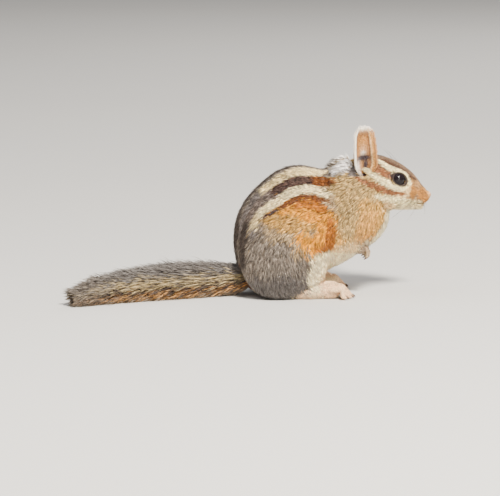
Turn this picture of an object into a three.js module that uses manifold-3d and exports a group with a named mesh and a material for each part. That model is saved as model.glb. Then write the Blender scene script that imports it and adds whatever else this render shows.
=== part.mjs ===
// A western chipmunk at life size, sitting up on its haunches with its forepaws at its chest.
// Millimetres, +Z up, floor at z = 0. The nose points along +X and the tail lies behind, along -X.
// The animal's right side faces -Y. The body is one sculpted surface parted by thin cuts,
// and the bushy tail is a core that carries flat tapered locks of hair.

import * as THREE from 'three';
import { mergeVertices } from 'three/addons/utils/BufferGeometryUtils.js';
import Module from 'manifold-3d';

const wasm = await Module();
wasm.setup();

// Driving dimensions
const GAP = 0.3; // clear space between neighbouring pieces
const CLEAR = 0.55; // growth of a sculpted surface that cuts its neighbour, which leaves about GAP
const REACH = 240; // edge of the cutting boxes, larger than the animal
const HEAD_ROOM = { low: [12, -18, 26], high: [60, 18, 66] }; // boxes that hold the head, and the neck
const NECK_ROOM = { low: [-6, -24, 14], high: [50, 24, 68] };
const CELL = { torso: 4.8, thigh: 3.4, neck: 3, arm: 2.7, foot: 2.5, head: 1.9 }; // mesh size
const WELD = 0.001; // points closer than this are one
const GRID = 0.01; // finished points lie on this grid
const SHORT = 0.12; // finished edges are longer than this
const LEFT = 1;
const RIGHT = -1;

// The cuts that part head, neck and torso: a point on each, and the slope of its normal in degrees
const HEAD_CUT = { at: [27.6, 0, 45.8], slope: 32 };
const NECK_CUT = { at: [22.4, 0, 42.2], slope: 43 };

// The egg-shaped cut round each thigh
const THIGH = { centre: [-10, 21.5, 15], radii: [17.5, 13.5, 22.5] };

const EYE = { centre: [40.1, 7.1, 48.8], radius: 3.2, out: [0.27, 0.94, 0.2], ball: 0.6 };
const LIDS = { radius: 2.85, thick: 0.55, long: 1.1, low: 0.94, pitch: 28 };

// The ears lean differently, so each has its own tip and its own way that the cup opens.
// Both are told for the left side. The outline has its width at the base and shares of the height.
const EAR = { base: [25.6, 7.6, 50.8], width: 10.2, thick: 0.85, rings: 9, arcs: 7 };
const EAR_TIP = { left: [28.4, 16.4, 68.4], right: [24.5, 12.6, 71.7] };
const EAR_FACE = { left: [0.5, 0.86, 0.05], right: [0.2, 0.97, 0.05] };
const EAR_OUTLINE = { base: 0.3, full: 0.3, shoulder: 0.75, end: 1.006 };
const EAR_CURL = { base: 100, tip: 50 }; // half of the cup's arc, in degrees
const EAR_PIT = { deep: 2.6, wide: 1.5, high: 2.6 };

const NOSE = { centre: [53.4, 0, 41.4], radii: [1.7, 2.0, 1.5], pitch: 20 };
const NOSTRIL = { centre: [54.5, 1.05, 41.1], radii: [0.9, 0.42, 0.5] };
const MOUTH = { front: [52.4, 0, 38.4], corner: [46.2, 4.4, 37.4], radius: 0.42, steps: 6 };

const HIND_TOES = [
  { root: 3.0, tip: 5.2, reach: 17.4 },
  { root: 1.6, tip: 2.7, reach: 19.8 },
  { root: 0.1, tip: 0.3, reach: 20.6 },
  { root: -1.4, tip: -2.1, reach: 20.0 },
  { root: -2.9, tip: -4.4, reach: 17.6 },
];
const HIND_FOOT = { y: 12.6, ball: 12.0, knuckle: 16.0, high: 4.6 };

const TOE = { radii: [1.45, 1.5, 1.15, 0.7], claw: [0.6, 0.55, 0.1] };

const PAW = { palm: [25.7, 4.9, 19.9], radii: [2.9, 2.5, 2.5], fingers: 4, spread: 1.35 };
const FINGER = {
  root: [0.8, 0.2], knuckle: [2.9, -1.5], tip: [2.7, -3.3], end: [2, -3.85], claw: [1.1, -4.75],
};
const FINGER_SIZE = { radii: [0.9, 0.85, 0.75, 0.4], claw: [0.45, 0.35, 0.08] };
const PAW_ROOM = { centre: [26.8, 4.9, 18.8], radii: [4.4, 4.0, 4.3] }; // hollow in the chest behind a paw

const TAIL_PATH = [
  [-18, 0, 8.2], [-28, -0.4, 7.0], [-44, -2.6, 6.4],
  [-62, -7.4, 6.1], [-79, -14.2, 5.4], [-91.5, -20.6, 4.2],
];
const TAIL_CORE = { root: 3.9, middle: 4.2, tip: 1.3, sides: 10, steps: 16 };
const TAIL_CUTS = [0.28, 0.52, 0.76]; // places of the joints, as shares of the core's length
const LOCKS = { rows: 13, around: 8, first: 0.09, length: 11.8, width: 4.8, thick: 1.2, sunk: 1.1 };
const LIE = { root: 52, tip: 14 }; // a lock's angle to the tail, in degrees
const BRUSH = { locks: 5, length: 11, width: 3.2, lie: 22 };
const JOINT_CONE = { slope: 32, height: 130 }; // the cuts between lengths of tail follow the locks' lie

const COLOUR = {
  tawny: 0xb9824a, grey: 0x8f8473, cream: 0xe6dcc4, ear: 0xc79a72,
  eye: 0x0c0908, nose: 0xb98572, tail: 0x9a7448,
};

const rad = THREE.MathUtils.degToRad;
const vec = (list) => new THREE.Vector3(...list);
const mix = THREE.MathUtils.lerp;
const boxOf = ({ low, high }) => new THREE.Box3(vec(low), vec(high));

// A rounded mass of flesh: an ellipsoid turned nose-down by pitch and sideways by yaw.
// blend is the width of the fillet between it and the masses before it.
function blob(centre, radii, blend, { pitch = 0, yaw = 0, pair = false } = {}) {
  const turn = new THREE.Matrix4().makeRotationFromEuler(new THREE.Euler(0, rad(pitch), rad(yaw), 'ZYX'));
  const back = turn.clone().invert();
  const extent = Math.max(...radii);
  const distance = (x, y, z) => {
    const q = new THREE.Vector3(x - centre[0], y - centre[1], z - centre[2]).applyMatrix4(back);
    const scaled = Math.hypot(q.x / radii[0], q.y / radii[1], q.z / radii[2]);
    const slope = Math.hypot(q.x / radii[0] ** 2, q.y / radii[1] ** 2, q.z / radii[2] ** 2);
    return slope === 0 ? -Math.min(...radii) : (scaled * (scaled - 1)) / slope;
  };
  return { distance, blend, pair, ends: [centre], extent };
}

// A length of limb: a cone with round ends, squashed or widened sideways
function limb(from, to, fromRadius, toRadius, blend, { wide = 1, pair = false } = {}) {
  const line = [to[0] - from[0], (to[1] - from[1]) / wide, to[2] - from[2]];
  const length = Math.hypot(...line);
  const distance = (x, y, z) => {
    const q = [x - from[0], (y - from[1]) / wide, z - from[2]];
    const along = (q[0] * line[0] + q[1] * line[1] + q[2] * line[2]) / length ** 2;
    const t = THREE.MathUtils.clamp(along, 0, 1);
    const off = q.map((value, axis) => value - t * line[axis]);
    return Math.hypot(...off) - mix(fromRadius, toRadius, t);
  };
  const extent = Math.max(fromRadius, toRadius) * Math.max(wide, 1);
  return { distance, blend, pair, ends: [from, to], extent };
}

const TRUNK = [
  blob([-1.5, 0, 29.8], [21, 19, 24.7], 6, { pitch: 6 }), // belly and middle of the back
  blob([-13, 0, 19.9], [14.7, 16.5, 22.1], 8, { pitch: -8 }), // rump
  blob([15.2, 0, 32.9], [20, 15.5, 16.6], 8, { pitch: -8 }), // rib cage
  blob([26.8, 0, 33.8], [10, 12.3, 11.6], 6), // breast
  blob([12.6, 0, 23.0], [11.5, 12, 9.5], 6), // front of the belly
  blob([20.2, 9.5, 38.9], [10, 6.5, 14], 5, { pitch: 8, pair: true }), // shoulders
  blob([-10.4, 13, 17.6], [15.6, 9.6, 18.2], 5, { yaw: 6, pair: true }), // haunches
  blob([0.8, 11.3, 14.2], [9.4, 7.2, 12.2], 4, { pair: true }), // insides of the thighs
];
const NAPE = [
  limb([20.2, 0, 44.4], [30.4, 0, 46.6], 10.7, 9.3, 6, { wide: 1.1 }), // neck
  blob([18.0, 6.6, 54.0], [5.0, 3.4, 3.8], 3, { pitch: -28, pair: true }), // long hair behind the ears
];
const SKULL = [
  blob([32.9, 0, 49.1], [11.5, 10.2, 8.6], 5, { pitch: 22 }), // crown
  blob([41.6, 0, 46.5], [9.5, 8.2, 6.8], 4, { pitch: 36 }), // face
  blob([36.6, 5.5, 42.2], [9, 5, 5.4], 4, { pitch: 12, pair: true }), // cheeks
  limb([43.8, 0, 44.1], [52.9, 0, 41.1], 5.3, 2.4, 3, { wide: 1.1 }), // bridge of the nose
  blob([49.6, 2.3, 40.3], [3.6, 2.1, 2.2], 2, { pitch: 20, pair: true }), // whisker pads
  limb([41.3, 0, 38.3], [50.4, 0, 36.8], 3.3, 1.8, 2, { wide: 1.5 }), // lower jaw
  blob([41.6, 6.2, 51.6], [3.6, 2, 1.6], 2, { pitch: 26, pair: true }), // brows
];
const BODY = [...TRUNK, ...NAPE, ...SKULL];

const arm = (side) => [
  limb([20, 10.8 * side, 34], [15.2, 13.4 * side, 22.8], 5.2, 3.7, 3), // upper arm
  limb([15.2, 13.4 * side, 22.8], [23.9, 6.6 * side, 20.2], 3.7, 2.4, 2), // forearm
];
const sole = (side) => [
  limb([-7, 12 * side, 2.9], [3, HIND_FOOT.y * side, 3.1], 3.3, 3.5, 2), // heel
  limb([3, HIND_FOOT.y * side, 3.1], [HIND_FOOT.ball, HIND_FOOT.y * side, 3.5], 3.5, 3.8, 2), // instep and ball
];

function smoothMin(a, b, width) {
  const share = Math.max(width - Math.abs(a - b), 0) / width;
  return Math.min(a, b) - (share * share * width) / 4;
}

// Signed distance to the skin that wraps a list of masses, negative inside
function skinOf(masses) {
  return (x, y, z) => {
    let sum = Infinity;
    for (const mass of masses) {
      let d = mass.distance(x, y, z);
      if (mass.pair) d = Math.min(d, mass.distance(x, -y, z));
      sum = sum === Infinity ? d : smoothMin(sum, d, mass.blend);
    }
    return sum;
  };
}

function slopeAt(field, p) {
  const h = 0.02;
  return new THREE.Vector3(
    (field(p.x + h, p.y, p.z) - field(p.x - h, p.y, p.z)) / (2 * h),
    (field(p.x, p.y + h, p.z) - field(p.x, p.y - h, p.z)) / (2 * h),
    (field(p.x, p.y, p.z + h) - field(p.x, p.y, p.z - h)) / (2 * h),
  );
}

// Moves a point straight to the surface where the field has the given level
function settle(field, p, level = 0) {
  for (let pass = 0; pass < 4; pass += 1) {
    const slope = slopeAt(field, p);
    p.addScaledVector(slope, (level - field(p.x, p.y, p.z)) / slope.lengthSq());
  }
  return p;
}

function boxRound(masses, margin) {
  const box = new THREE.Box3();
  for (const mass of masses) {
    for (const end of mass.ends) {
      const size = vec([1, 1, 1]).multiplyScalar(2 * mass.extent);
      box.union(new THREE.Box3().setFromCenterAndSize(vec(end), size));
      if (mass.pair) box.expandByPoint(vec([end[0], -end[1] - Math.sign(end[1]) * mass.extent, end[2]]));
    }
  }
  return box.expandByScalar(margin);
}

// Distance outside a box along its worst axis
function outside(box, x, y, z) {
  return Math.max(box.min.x - x, x - box.max.x, box.min.y - y, y - box.max.y, box.min.z - z, z - box.max.z);
}

// A closed mesh of the skin round some masses: one point in each grid cell that the skin crosses,
// moved on to the skin, and one quad across each grid edge that it cuts
function sculpt(masses, cell, { level = 0, within = null } = {}) {
  const skin = skinOf(masses);
  const field = within ? (x, y, z) => Math.max(skin(x, y, z), outside(within, x, y, z)) : skin;
  const box = within ? within.clone().expandByScalar(2 * cell) : boxRound(masses, level + 2 * cell);
  const size = box.getSize(new THREE.Vector3());
  const count = [size.x, size.y, size.z].map((length) => Math.ceil(length / cell) + 1);
  const place = (i, j, k) => [box.min.x + i * cell, box.min.y + j * cell, box.min.z + k * cell];
  const slot = (i, j, k) => (i * count[1] + j) * count[2] + k;
  const values = new Float64Array(count[0] * count[1] * count[2]);
  for (let i = 0; i < count[0]; i += 1) {
    for (let j = 0; j < count[1]; j += 1) {
      for (let k = 0; k < count[2]; k += 1) {
        values[slot(i, j, k)] = field(...place(i, j, k)) - level;
      }
    }
  }

  const corners = [0, 1, 2, 3, 4, 5, 6, 7].map((n) => [n & 1, (n >> 1) & 1, (n >> 2) & 1]);
  const points = [];
  const pointIn = new Map();
  const cellPoint = (i, j, k) => {
    const key = slot(i, j, k);
    if (pointIn.has(key)) return pointIn.get(key);
    const sum = new THREE.Vector3();
    let crossings = 0;
    for (const a of corners) {
      for (let axis = 0; axis < 3; axis += 1) {
        if (a[axis] === 1) continue;
        const b = a.map((n, other) => (other === axis ? 1 : n));
        const from = values[slot(i + a[0], j + a[1], k + a[2])];
        const to = values[slot(i + b[0], j + b[1], k + b[2])];
        if (from < 0 === to < 0) continue;
        const start = vec(place(i + a[0], j + a[1], k + a[2]));
        const end = vec(place(i + b[0], j + b[1], k + b[2]));
        sum.add(start.lerp(end, from / (from - to)));
        crossings += 1;
      }
    }
    points.push(settle(field, sum.divideScalar(crossings), level));
    pointIn.set(key, points.length - 1);
    return points.length - 1;
  };

  const index = [];
  const addQuad = (a, b, c, d) => {
    const split = points[a].distanceTo(points[c]) < points[b].distanceTo(points[d]);
    index.push(...(split ? [a, b, c, a, c, d] : [b, c, d, b, d, a]));
  };
  for (let i = 1; i < count[0] - 1; i += 1) {
    for (let j = 1; j < count[1] - 1; j += 1) {
      for (let k = 1; k < count[2] - 1; k += 1) {
        const inside = values[slot(i, j, k)] < 0;
        for (let axis = 0; axis < 3; axis += 1) {
          const next = [i, j, k];
          next[axis] += 1;
          if (values[slot(...next)] < 0 === inside) continue;
          const [u, v] = [(axis + 1) % 3, (axis + 2) % 3];
          const ring = [[-1, -1], [0, -1], [0, 0], [-1, 0]].map(([du, dv]) => {
            const at = [i, j, k];
            at[u] += du;
            at[v] += dv;
            return cellPoint(...at);
          });
          addQuad(...(inside ? ring : ring.reverse()));
        }
      }
    }
  }
  const geometry = new THREE.BufferGeometry().setFromPoints(points);
  geometry.setIndex(index);
  return toSolid(geometry);
}

function toSolid(geometry) {
  const bare = geometry.clone();
  bare.deleteAttribute('normal');
  bare.deleteAttribute('uv');
  const welded = mergeVertices(bare, WELD);
  const mesh = new wasm.Mesh({
    numProp: 3,
    vertProperties: new Float32Array(welded.attributes.position.array),
    triVerts: new Uint32Array(welded.index.array),
  });
  return new wasm.Manifold(mesh);
}

function toGeometry(solid) {
  const mesh = solid.getMesh();
  const geometry = new THREE.BufferGeometry();
  geometry.setAttribute('position', new THREE.BufferAttribute(mesh.vertProperties, 3));
  geometry.setIndex(new THREE.BufferAttribute(mesh.triVerts, 1));
  geometry.computeVertexNormals();
  return geometry;
}

const union = (solids) => wasm.Manifold.union(solids);

function closedMesh(positions, index) {
  const geometry = new THREE.BufferGeometry();
  geometry.setAttribute('position', new THREE.Float32BufferAttribute(positions, 3));
  geometry.setIndex(index);
  return toSolid(geometry);
}

// Faces without those that have collapsed, and without pairs that lie back to back
function distinctFaces(faces) {
  const kept = new Map();
  for (const face of faces) {
    if (new Set(face).size < 3) continue;
    const first = face.indexOf(Math.min(...face));
    const [a, b, c] = [0, 1, 2].map((n) => face[(first + n) % 3]);
    if (!kept.delete(`${a},${c},${b}`)) kept.set(`${a},${b},${c}`, [a, b, c]);
  }
  return [...kept.values()];
}

// Cleans what a cut leaves: rounds the points to a fine grid, and draws together the ends of every edge
// that is very short or carries more than two faces
function tidied(solid) {
  const { triVerts, vertProperties } = solid.getMesh();
  const points = Array.from({ length: vertProperties.length / 3 }, (_, i) => (
    new THREE.Vector3().fromArray(vertProperties, 3 * i).divideScalar(GRID).round().multiplyScalar(GRID)
  ));
  const places = points.map((point) => point.toArray().join());
  const nameOf = places.map((place) => places.indexOf(place));
  let faces = Array.from({ length: triVerts.length / 3 }, (_, t) => (
    [...triVerts.slice(3 * t, 3 * t + 3)].map((i) => nameOf[i])
  ));
  let joined = true;
  while (joined) {
    joined = false;
    const uses = new Map();
    for (const face of faces) {
      face.forEach((a, n) => {
        const key = [a, face[(n + 1) % 3]].sort((p, q) => p - q).join();
        uses.set(key, (uses.get(key) ?? 0) + 1);
      });
    }
    for (const [key, count] of uses) {
      const [a, b] = key.split(',').map((name) => nameOf[name]);
      if (a === b || (count === 2 && points[a].distanceTo(points[b]) > SHORT)) continue;
      nameOf.forEach((name, i) => {
        if (name === b) nameOf[i] = a;
      });
      joined = true;
    }
    faces = distinctFaces(faces.map((face) => face.map((i) => nameOf[i])));
  }
  return closedMesh(points.flatMap((point) => point.toArray()), faces.flat());
}

// Keeps a solid's largest closed surface, which fills sealed hollows and drops loose scraps
function largest(solid) {
  const pieces = tidied(solid).decompose();
  return pieces.reduce((best, piece) => (piece.volume() > best.volume() ? piece : best));
}

// An ellipsoid with its poles along Z before it is pitched
function egg(centre, radii, { grow = 0, pitch = 0, around = 16, rings = 10 } = {}) {
  const geometry = new THREE.SphereGeometry(1, around, rings);
  geometry.rotateX(Math.PI / 2);
  geometry.scale(radii[0] + grow, radii[1] + grow, radii[2] + grow);
  geometry.rotateY(rad(pitch));
  geometry.translate(...centre);
  return toSolid(geometry);
}

// Everything in front of a cut plane, from offset beyond it
function inFrontOf(cut, offset) {
  const geometry = new THREE.BoxGeometry(REACH, REACH, REACH);
  geometry.translate(REACH / 2 + offset, 0, 0);
  geometry.rotateY(-rad(cut.slope));
  geometry.translate(...cut.at);
  return toSolid(geometry);
}

function belowFloor() {
  return toSolid(new THREE.BoxGeometry(2 * REACH, REACH, REACH).translate(0, 0, -REACH / 2));
}

// A closed tube through some points, with a radius at each, and a fan at both ends
function taper(points, radii, sides) {
  const path = points.map(vec);
  const rings = path.length;
  const positions = [];
  const index = [];
  let normal = new THREE.Vector3(0, 0, 1);
  for (let i = 0; i < rings; i += 1) {
    const tangent = path[Math.min(i + 1, rings - 1)].clone().sub(path[Math.max(i - 1, 0)]).normalize();
    if (Math.abs(tangent.dot(normal)) > 0.95) normal = new THREE.Vector3(1, 0, 0);
    normal.addScaledVector(tangent, -normal.dot(tangent)).normalize();
    const across = tangent.clone().cross(normal);
    for (let j = 0; j < sides; j += 1) {
      const angle = (2 * Math.PI * j) / sides;
      const point = path[i].clone().addScaledVector(normal, radii[i] * Math.cos(angle));
      positions.push(...point.addScaledVector(across, radii[i] * Math.sin(angle)));
    }
  }
  positions.push(...path[0], ...path[rings - 1]);
  const start = rings * sides;
  const at = (i, j) => i * sides + (j % sides);
  for (let j = 0; j < sides; j += 1) {
    for (let i = 0; i < rings - 1; i += 1) {
      index.push(at(i, j), at(i, j + 1), at(i + 1, j + 1), at(i, j), at(i + 1, j + 1), at(i + 1, j));
    }
    index.push(start, at(0, j + 1), at(0, j), start + 1, at(rings - 1, j), at(rings - 1, j + 1));
  }
  return closedMesh(positions, index);
}

// Head: the skull with eye sockets, lids, the line of the mouth and the ears' pits
function eyeBall(side, grow) {
  const centre = [EYE.centre[0], EYE.centre[1] * side, EYE.centre[2]];
  return egg(centre, Array(3).fill(EYE.radius), { grow, around: 14, rings: 9 });
}

function lids(side) {
  const out = vec(EYE.out).multiply(vec([1, side, 1])).normalize();
  const ring = new THREE.TorusGeometry(LIDS.radius, LIDS.thick, 4, 16);
  ring.scale(LIDS.long, LIDS.low, 1);
  const turn = new THREE.Matrix4().lookAt(out, new THREE.Vector3(), new THREE.Vector3(0, 0, 1));
  ring.rotateZ(rad(-LIDS.pitch) * -side);
  ring.applyMatrix4(turn);
  const centre = vec([EYE.centre[0], EYE.centre[1] * side, EYE.centre[2]]);
  return toSolid(ring.translate(...centre.addScaledVector(out, EYE.radius * EYE.ball)));
}

// A thin groove that runs from one corner of the mouth round the front to the other
function mouthLine() {
  const field = skinOf(BODY);
  const points = [];
  for (let i = -MOUTH.steps; i <= MOUTH.steps; i += 1) {
    const t = Math.abs(i) / MOUTH.steps;
    const across = Math.sign(i) * MOUTH.corner[1] * Math.sqrt(1 - (1 - t) ** 2);
    const x = mix(MOUTH.front[0], MOUTH.corner[0], t * t);
    const z = mix(MOUTH.front[2], MOUTH.corner[2], t);
    points.push(settle(field, vec([x, across, z])).toArray());
  }
  return taper(points, points.map(() => MOUTH.radius), 6);
}

function earFrame(side) {
  const base = vec(EAR.base).multiply(vec([1, side, 1]));
  const tip = vec(side === LEFT ? EAR_TIP.left : EAR_TIP.right).multiply(vec([1, side, 1]));
  const up = tip.clone().sub(base);
  const height = up.length();
  up.normalize();
  const face = vec(side === LEFT ? EAR_FACE.left : EAR_FACE.right).multiply(vec([1, side, 1]));
  face.addScaledVector(up, -face.dot(up)).normalize();
  return { base, up, face, across: face.clone().cross(up), height };
}

function earPit(side) {
  const { base, up, face } = earFrame(side);
  const centre = base.clone().addScaledVector(up, EAR_PIT.high);
  centre.addScaledVector(face, EAR_PIT.wide + EAR.thick);
  return egg(centre.toArray(), [EAR_PIT.wide, EAR_PIT.wide, EAR_PIT.deep], { around: 8, rings: 6 });
}

function head() {
  const whole = sculpt(BODY, CELL.head, { within: boxOf(HEAD_ROOM) });
  const skull = whole.intersect(inFrontOf(HEAD_CUT, GAP / 2)).add(union([lids(LEFT), lids(RIGHT)]));
  const hollows = [mouthLine(), noseShape(GAP)];
  for (const side of [LEFT, RIGHT]) hollows.push(eyeBall(side, GAP), earPit(side));
  return largest(skull.subtract(union(hollows)));
}

function noseShape(grow) {
  return egg(NOSE.centre, NOSE.radii, { grow, pitch: NOSE.pitch, around: 12, rings: 8 });
}

function nose() {
  const nostrils = [LEFT, RIGHT].map((side) => egg(
    [NOSTRIL.centre[0], NOSTRIL.centre[1] * side, NOSTRIL.centre[2]], NOSTRIL.radii, { around: 6, rings: 5 },
  ));
  return largest(noseShape(0).subtract(union(nostrils)));
}

// The ear's width at a share of its height, over its full width: narrow at the base, and round at the tip
function earOutline(t) {
  const { base, full, shoulder, end } = EAR_OUTLINE;
  if (t < full) return mix(base, 1, Math.sin(((t / full) * Math.PI) / 2));
  return Math.sqrt(1 - (Math.max(t - shoulder, 0) / (end - shoulder)) ** 2);
}

// Ear: a thin cup, deep and rolled at its base, open and round at its tip
function ear(side) {
  const { base, up, face, across, height } = earFrame(side);
  const positions = [];
  const addPoint = (centre, radius, angle) => {
    const point = centre.clone().addScaledVector(across, radius * Math.sin(angle));
    positions.push(...point.addScaledVector(face, -radius * Math.cos(angle)));
  };
  for (let i = 0; i < EAR.rings; i += 1) {
    const t = 1 - (1 - i / (EAR.rings - 1)) ** 1.5;
    const half = (EAR.width / 2) * earOutline(t);
    const open = rad(mix(EAR_CURL.base, EAR_CURL.tip, Math.min(t / 0.9, 1)));
    const radius = half / Math.sin(Math.min(open, Math.PI / 2));
    const centre = base.clone().addScaledVector(up, height * t).addScaledVector(face, radius);
    for (let j = 0; j <= EAR.arcs; j += 1) addPoint(centre, radius, mix(-open, open, j / EAR.arcs));
    const inner = Math.max(radius - EAR.thick, 0.3 * radius);
    for (let j = EAR.arcs; j >= 0; j -= 1) addPoint(centre, inner, mix(-open, open, j / EAR.arcs));
  }
  const loop = 2 * (EAR.arcs + 1);
  const last = (EAR.rings - 1) * loop;
  const index = [];
  const quad = (a, b, c, d) => index.push(a, b, c, a, c, d);
  for (let i = 0; i < EAR.rings - 1; i += 1) {
    for (let j = 0; j < loop; j += 1) {
      const next = (j + 1) % loop;
      quad(i * loop + j, i * loop + next, (i + 1) * loop + next, (i + 1) * loop + j);
    }
  }
  for (let j = 0; j < EAR.arcs; j += 1) {
    quad(loop - 1 - j, loop - 2 - j, j + 1, j);
    quad(last + j, last + j + 1, last + loop - 2 - j, last + loop - 1 - j);
  }
  return largest(closedMesh(positions, index).subtract(headGrown()));
}

function headGrown() {
  return sculpt(BODY, CELL.head, { level: CLEAR, within: boxOf(HEAD_ROOM) });
}

function neck() {
  const whole = sculpt(BODY, CELL.neck, { within: boxOf(NECK_ROOM) });
  return largest(whole.intersect(inFrontOf(NECK_CUT, GAP / 2)).subtract(inFrontOf(HEAD_CUT, -GAP / 2)));
}

// Limbs
function thighCut(side, grow) {
  return egg([THIGH.centre[0], THIGH.centre[1] * side, THIGH.centre[2]], THIGH.radii, { grow, around: 14 });
}

function footClearance(side) {
  return sculpt(sole(side), CELL.foot, { level: CLEAR });
}

function thigh(side) {
  const whole = sculpt(BODY, CELL.thigh);
  return largest(whole.intersect(thighCut(side, 0)).subtract(union([belowFloor(), footClearance(side)])));
}

function torso() {
  const cuts = [belowFloor(), inFrontOf(NECK_CUT, -GAP / 2)];
  for (const side of [LEFT, RIGHT]) {
    cuts.push(thighCut(side, GAP), footClearance(side), sculpt(arm(side), CELL.arm, { level: CLEAR }));
    const room = [PAW_ROOM.centre[0], PAW_ROOM.centre[1] * side, PAW_ROOM.centre[2]];
    cuts.push(palm(side, CLEAR), egg(room, PAW_ROOM.radii, { around: 10, rings: 6 }));
  }
  return largest(sculpt(BODY, CELL.torso).subtract(union(cuts)));
}

function armLength(side) {
  const cuts = [palm(side, GAP), inFrontOf(NECK_CUT, -GAP / 2)];
  return largest(sculpt(arm(side), CELL.arm).subtract(union(cuts)));
}

function palm(side, grow) {
  return egg([PAW.palm[0], PAW.palm[1] * side, PAW.palm[2]], PAW.radii, { grow, around: 10, rings: 7 });
}

// Forepaw: a palm with four curled fingers and their claws
function forepaw(side) {
  const pieces = [palm(side, 0)];
  for (let i = 0; i < PAW.fingers; i += 1) {
    const shift = (i - (PAW.fingers - 1) / 2) * PAW.spread;
    const y = (PAW.palm[1] + shift) * side;
    const reach = 1 - 0.18 * Math.abs(shift); // the outer fingers are shorter
    const joint = ([x, z], fan) => [PAW.palm[0] + x * reach, y + fan * shift * side, PAW.palm[2] + z];
    const root = joint(FINGER.root, 0);
    const knuckle = joint(FINGER.knuckle, 0.1);
    const tip = joint(FINGER.tip, 0.15);
    const end = joint(FINGER.end, 0.15);
    pieces.push(taper([root, knuckle, tip, end], FINGER_SIZE.radii, 6));
    pieces.push(taper([tip, end, joint(FINGER.claw, 0.15)], FINGER_SIZE.claw, 5));
  }
  return largest(union(pieces));
}

// Hind foot: a long sole with five toes and their claws
function foot(side) {
  const pieces = [sculpt(sole(side), CELL.foot)];
  for (const toe of HIND_TOES) {
    const y = HIND_FOOT.y * side;
    const root = [HIND_FOOT.ball - 0.5, y + toe.root * side, 3.9];
    const bend = (toe.reach - HIND_FOOT.knuckle) / 3;
    const spread = mix(toe.root, toe.tip, 0.55) * side;
    const knuckle = [HIND_FOOT.knuckle + 0.4 * bend, y + spread, HIND_FOOT.high];
    const tip = [toe.reach - 1.2, y + toe.tip * side, 1.25];
    const end = [toe.reach - 0.2, y + toe.tip * 1.04 * side, 0.9];
    const claw = [toe.reach + 1.3, y + toe.tip * 1.1 * side, 0.25];
    pieces.push(taper([root, knuckle, tip, end], TOE.radii, 6));
    pieces.push(taper([tip, end, claw], TOE.claw, 5));
  }
  return largest(union(pieces).subtract(belowFloor()));
}

// Tail
const tailLine = new THREE.CatmullRomCurve3(TAIL_PATH.map(vec), false, 'centripetal');

function tailFrame(share) {
  const along = tailLine.getTangentAt(Math.min(share, 1));
  const side = along.clone().cross(new THREE.Vector3(0, 0, 1)).normalize();
  return { at: tailLine.getPointAt(Math.min(share, 1)), along, side, up: side.clone().cross(along) };
}

function coreRadius(share) {
  return share < 0.3
    ? mix(TAIL_CORE.root, TAIL_CORE.middle, share / 0.3)
    : mix(TAIL_CORE.middle, TAIL_CORE.tip, ((share - 0.3) / 0.7) ** 1.6);
}

function tailCore() {
  const shares = Array.from({ length: TAIL_CORE.steps + 1 }, (_, i) => i / TAIL_CORE.steps);
  return taper(shares.map((s) => tailLine.getPointAt(s).toArray()), shares.map(coreRadius), TAIL_CORE.sides);
}

// Repeatable random numbers from 0 to 1
function seeded(seed) {
  let state = seed;
  return () => {
    state = (state * 1664525 + 1013904223) % 4294967296;
    return state / 4294967296;
  };
}

// A flat lock of hair: a blade that leaves its root steeply, bends back along the tail and tapers to a point
function lock(root, along, out, { length, width, thick, lieRoot, lieTip }) {
  const across = out.clone().cross(along).normalize();
  const shares = [0, 0.35, 0.7, 1];
  const widths = [0.42, 0.8, 1];
  const positions = [];
  const at = root.clone();
  shares.forEach((share, i) => {
    const lie = rad(mix(lieRoot, lieTip, share));
    if (i > 0) {
      const middle = rad(mix(lieRoot, lieTip, (share + shares[i - 1]) / 2));
      const step = length * (share - shares[i - 1]);
      at.addScaledVector(along, step * Math.cos(middle)).addScaledVector(out, step * Math.sin(middle));
    }
    if (i === shares.length - 1) {
      positions.push(...at);
      return;
    }
    const half = (width * widths[i]) / 2;
    const ridge = (thick / 2) * (1 - 0.35 * share);
    const over = out.clone().multiplyScalar(Math.cos(lie)).addScaledVector(along, -Math.sin(lie));
    for (const [way, reach] of [[across, half], [over, ridge], [across, -half], [over, -ridge]]) {
      positions.push(...at.clone().addScaledVector(way, reach));
    }
  });
  const tip = 4 * (shares.length - 1);
  const index = [0, 2, 1, 0, 3, 2];
  for (let j = 0; j < 4; j += 1) {
    const next = (j + 1) % 4;
    for (let i = 0; i < shares.length - 2; i += 1) {
      const a = 4 * i;
      index.push(a + j, a + next, a + 4 + next, a + j, a + 4 + next, a + 4 + j);
    }
    index.push(tip - 4 + j, tip - 4 + next, tip);
  }
  return closedMesh(positions, index);
}

function tailLocks() {
  const random = seeded(7);
  const locks = [];
  for (let row = 0; row < LOCKS.rows; row += 1) {
    const share = mix(LOCKS.first, 0.97, row / (LOCKS.rows - 1));
    const { at, along, side, up } = tailFrame(share);
    const slim = mix(1, 0.72, Math.max((share - 0.45) / 0.55, 0)) * mix(0.86, 1, Math.min(share / 0.35, 1));
    for (let i = 0; i < LOCKS.around; i += 1) {
      const angle = ((i + (row % 2) / 2 + 0.14 * (random() - 0.5)) / LOCKS.around) * 2 * Math.PI;
      const out = side.clone().multiplyScalar(Math.cos(angle)).addScaledVector(up, Math.sin(angle));
      const broad = 1 + 0.07 * Math.cos(2 * angle);
      const root = at.clone().addScaledVector(out, Math.max(coreRadius(share) - LOCKS.sunk, 0.2));
      locks.push(lock(root, along, out, {
        length: LOCKS.length * slim * broad * mix(0.93, 1.07, random()),
        width: LOCKS.width * mix(1, 0.7, Math.max((share - 0.5) / 0.5, 0)) * mix(0.92, 1.05, random()),
        thick: LOCKS.thick,
        lieRoot: LIE.root + 8 * (random() - 0.5),
        lieTip: LIE.tip + 8 * (random() - 0.5),
      }));
    }
  }
  return locks;
}

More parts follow.
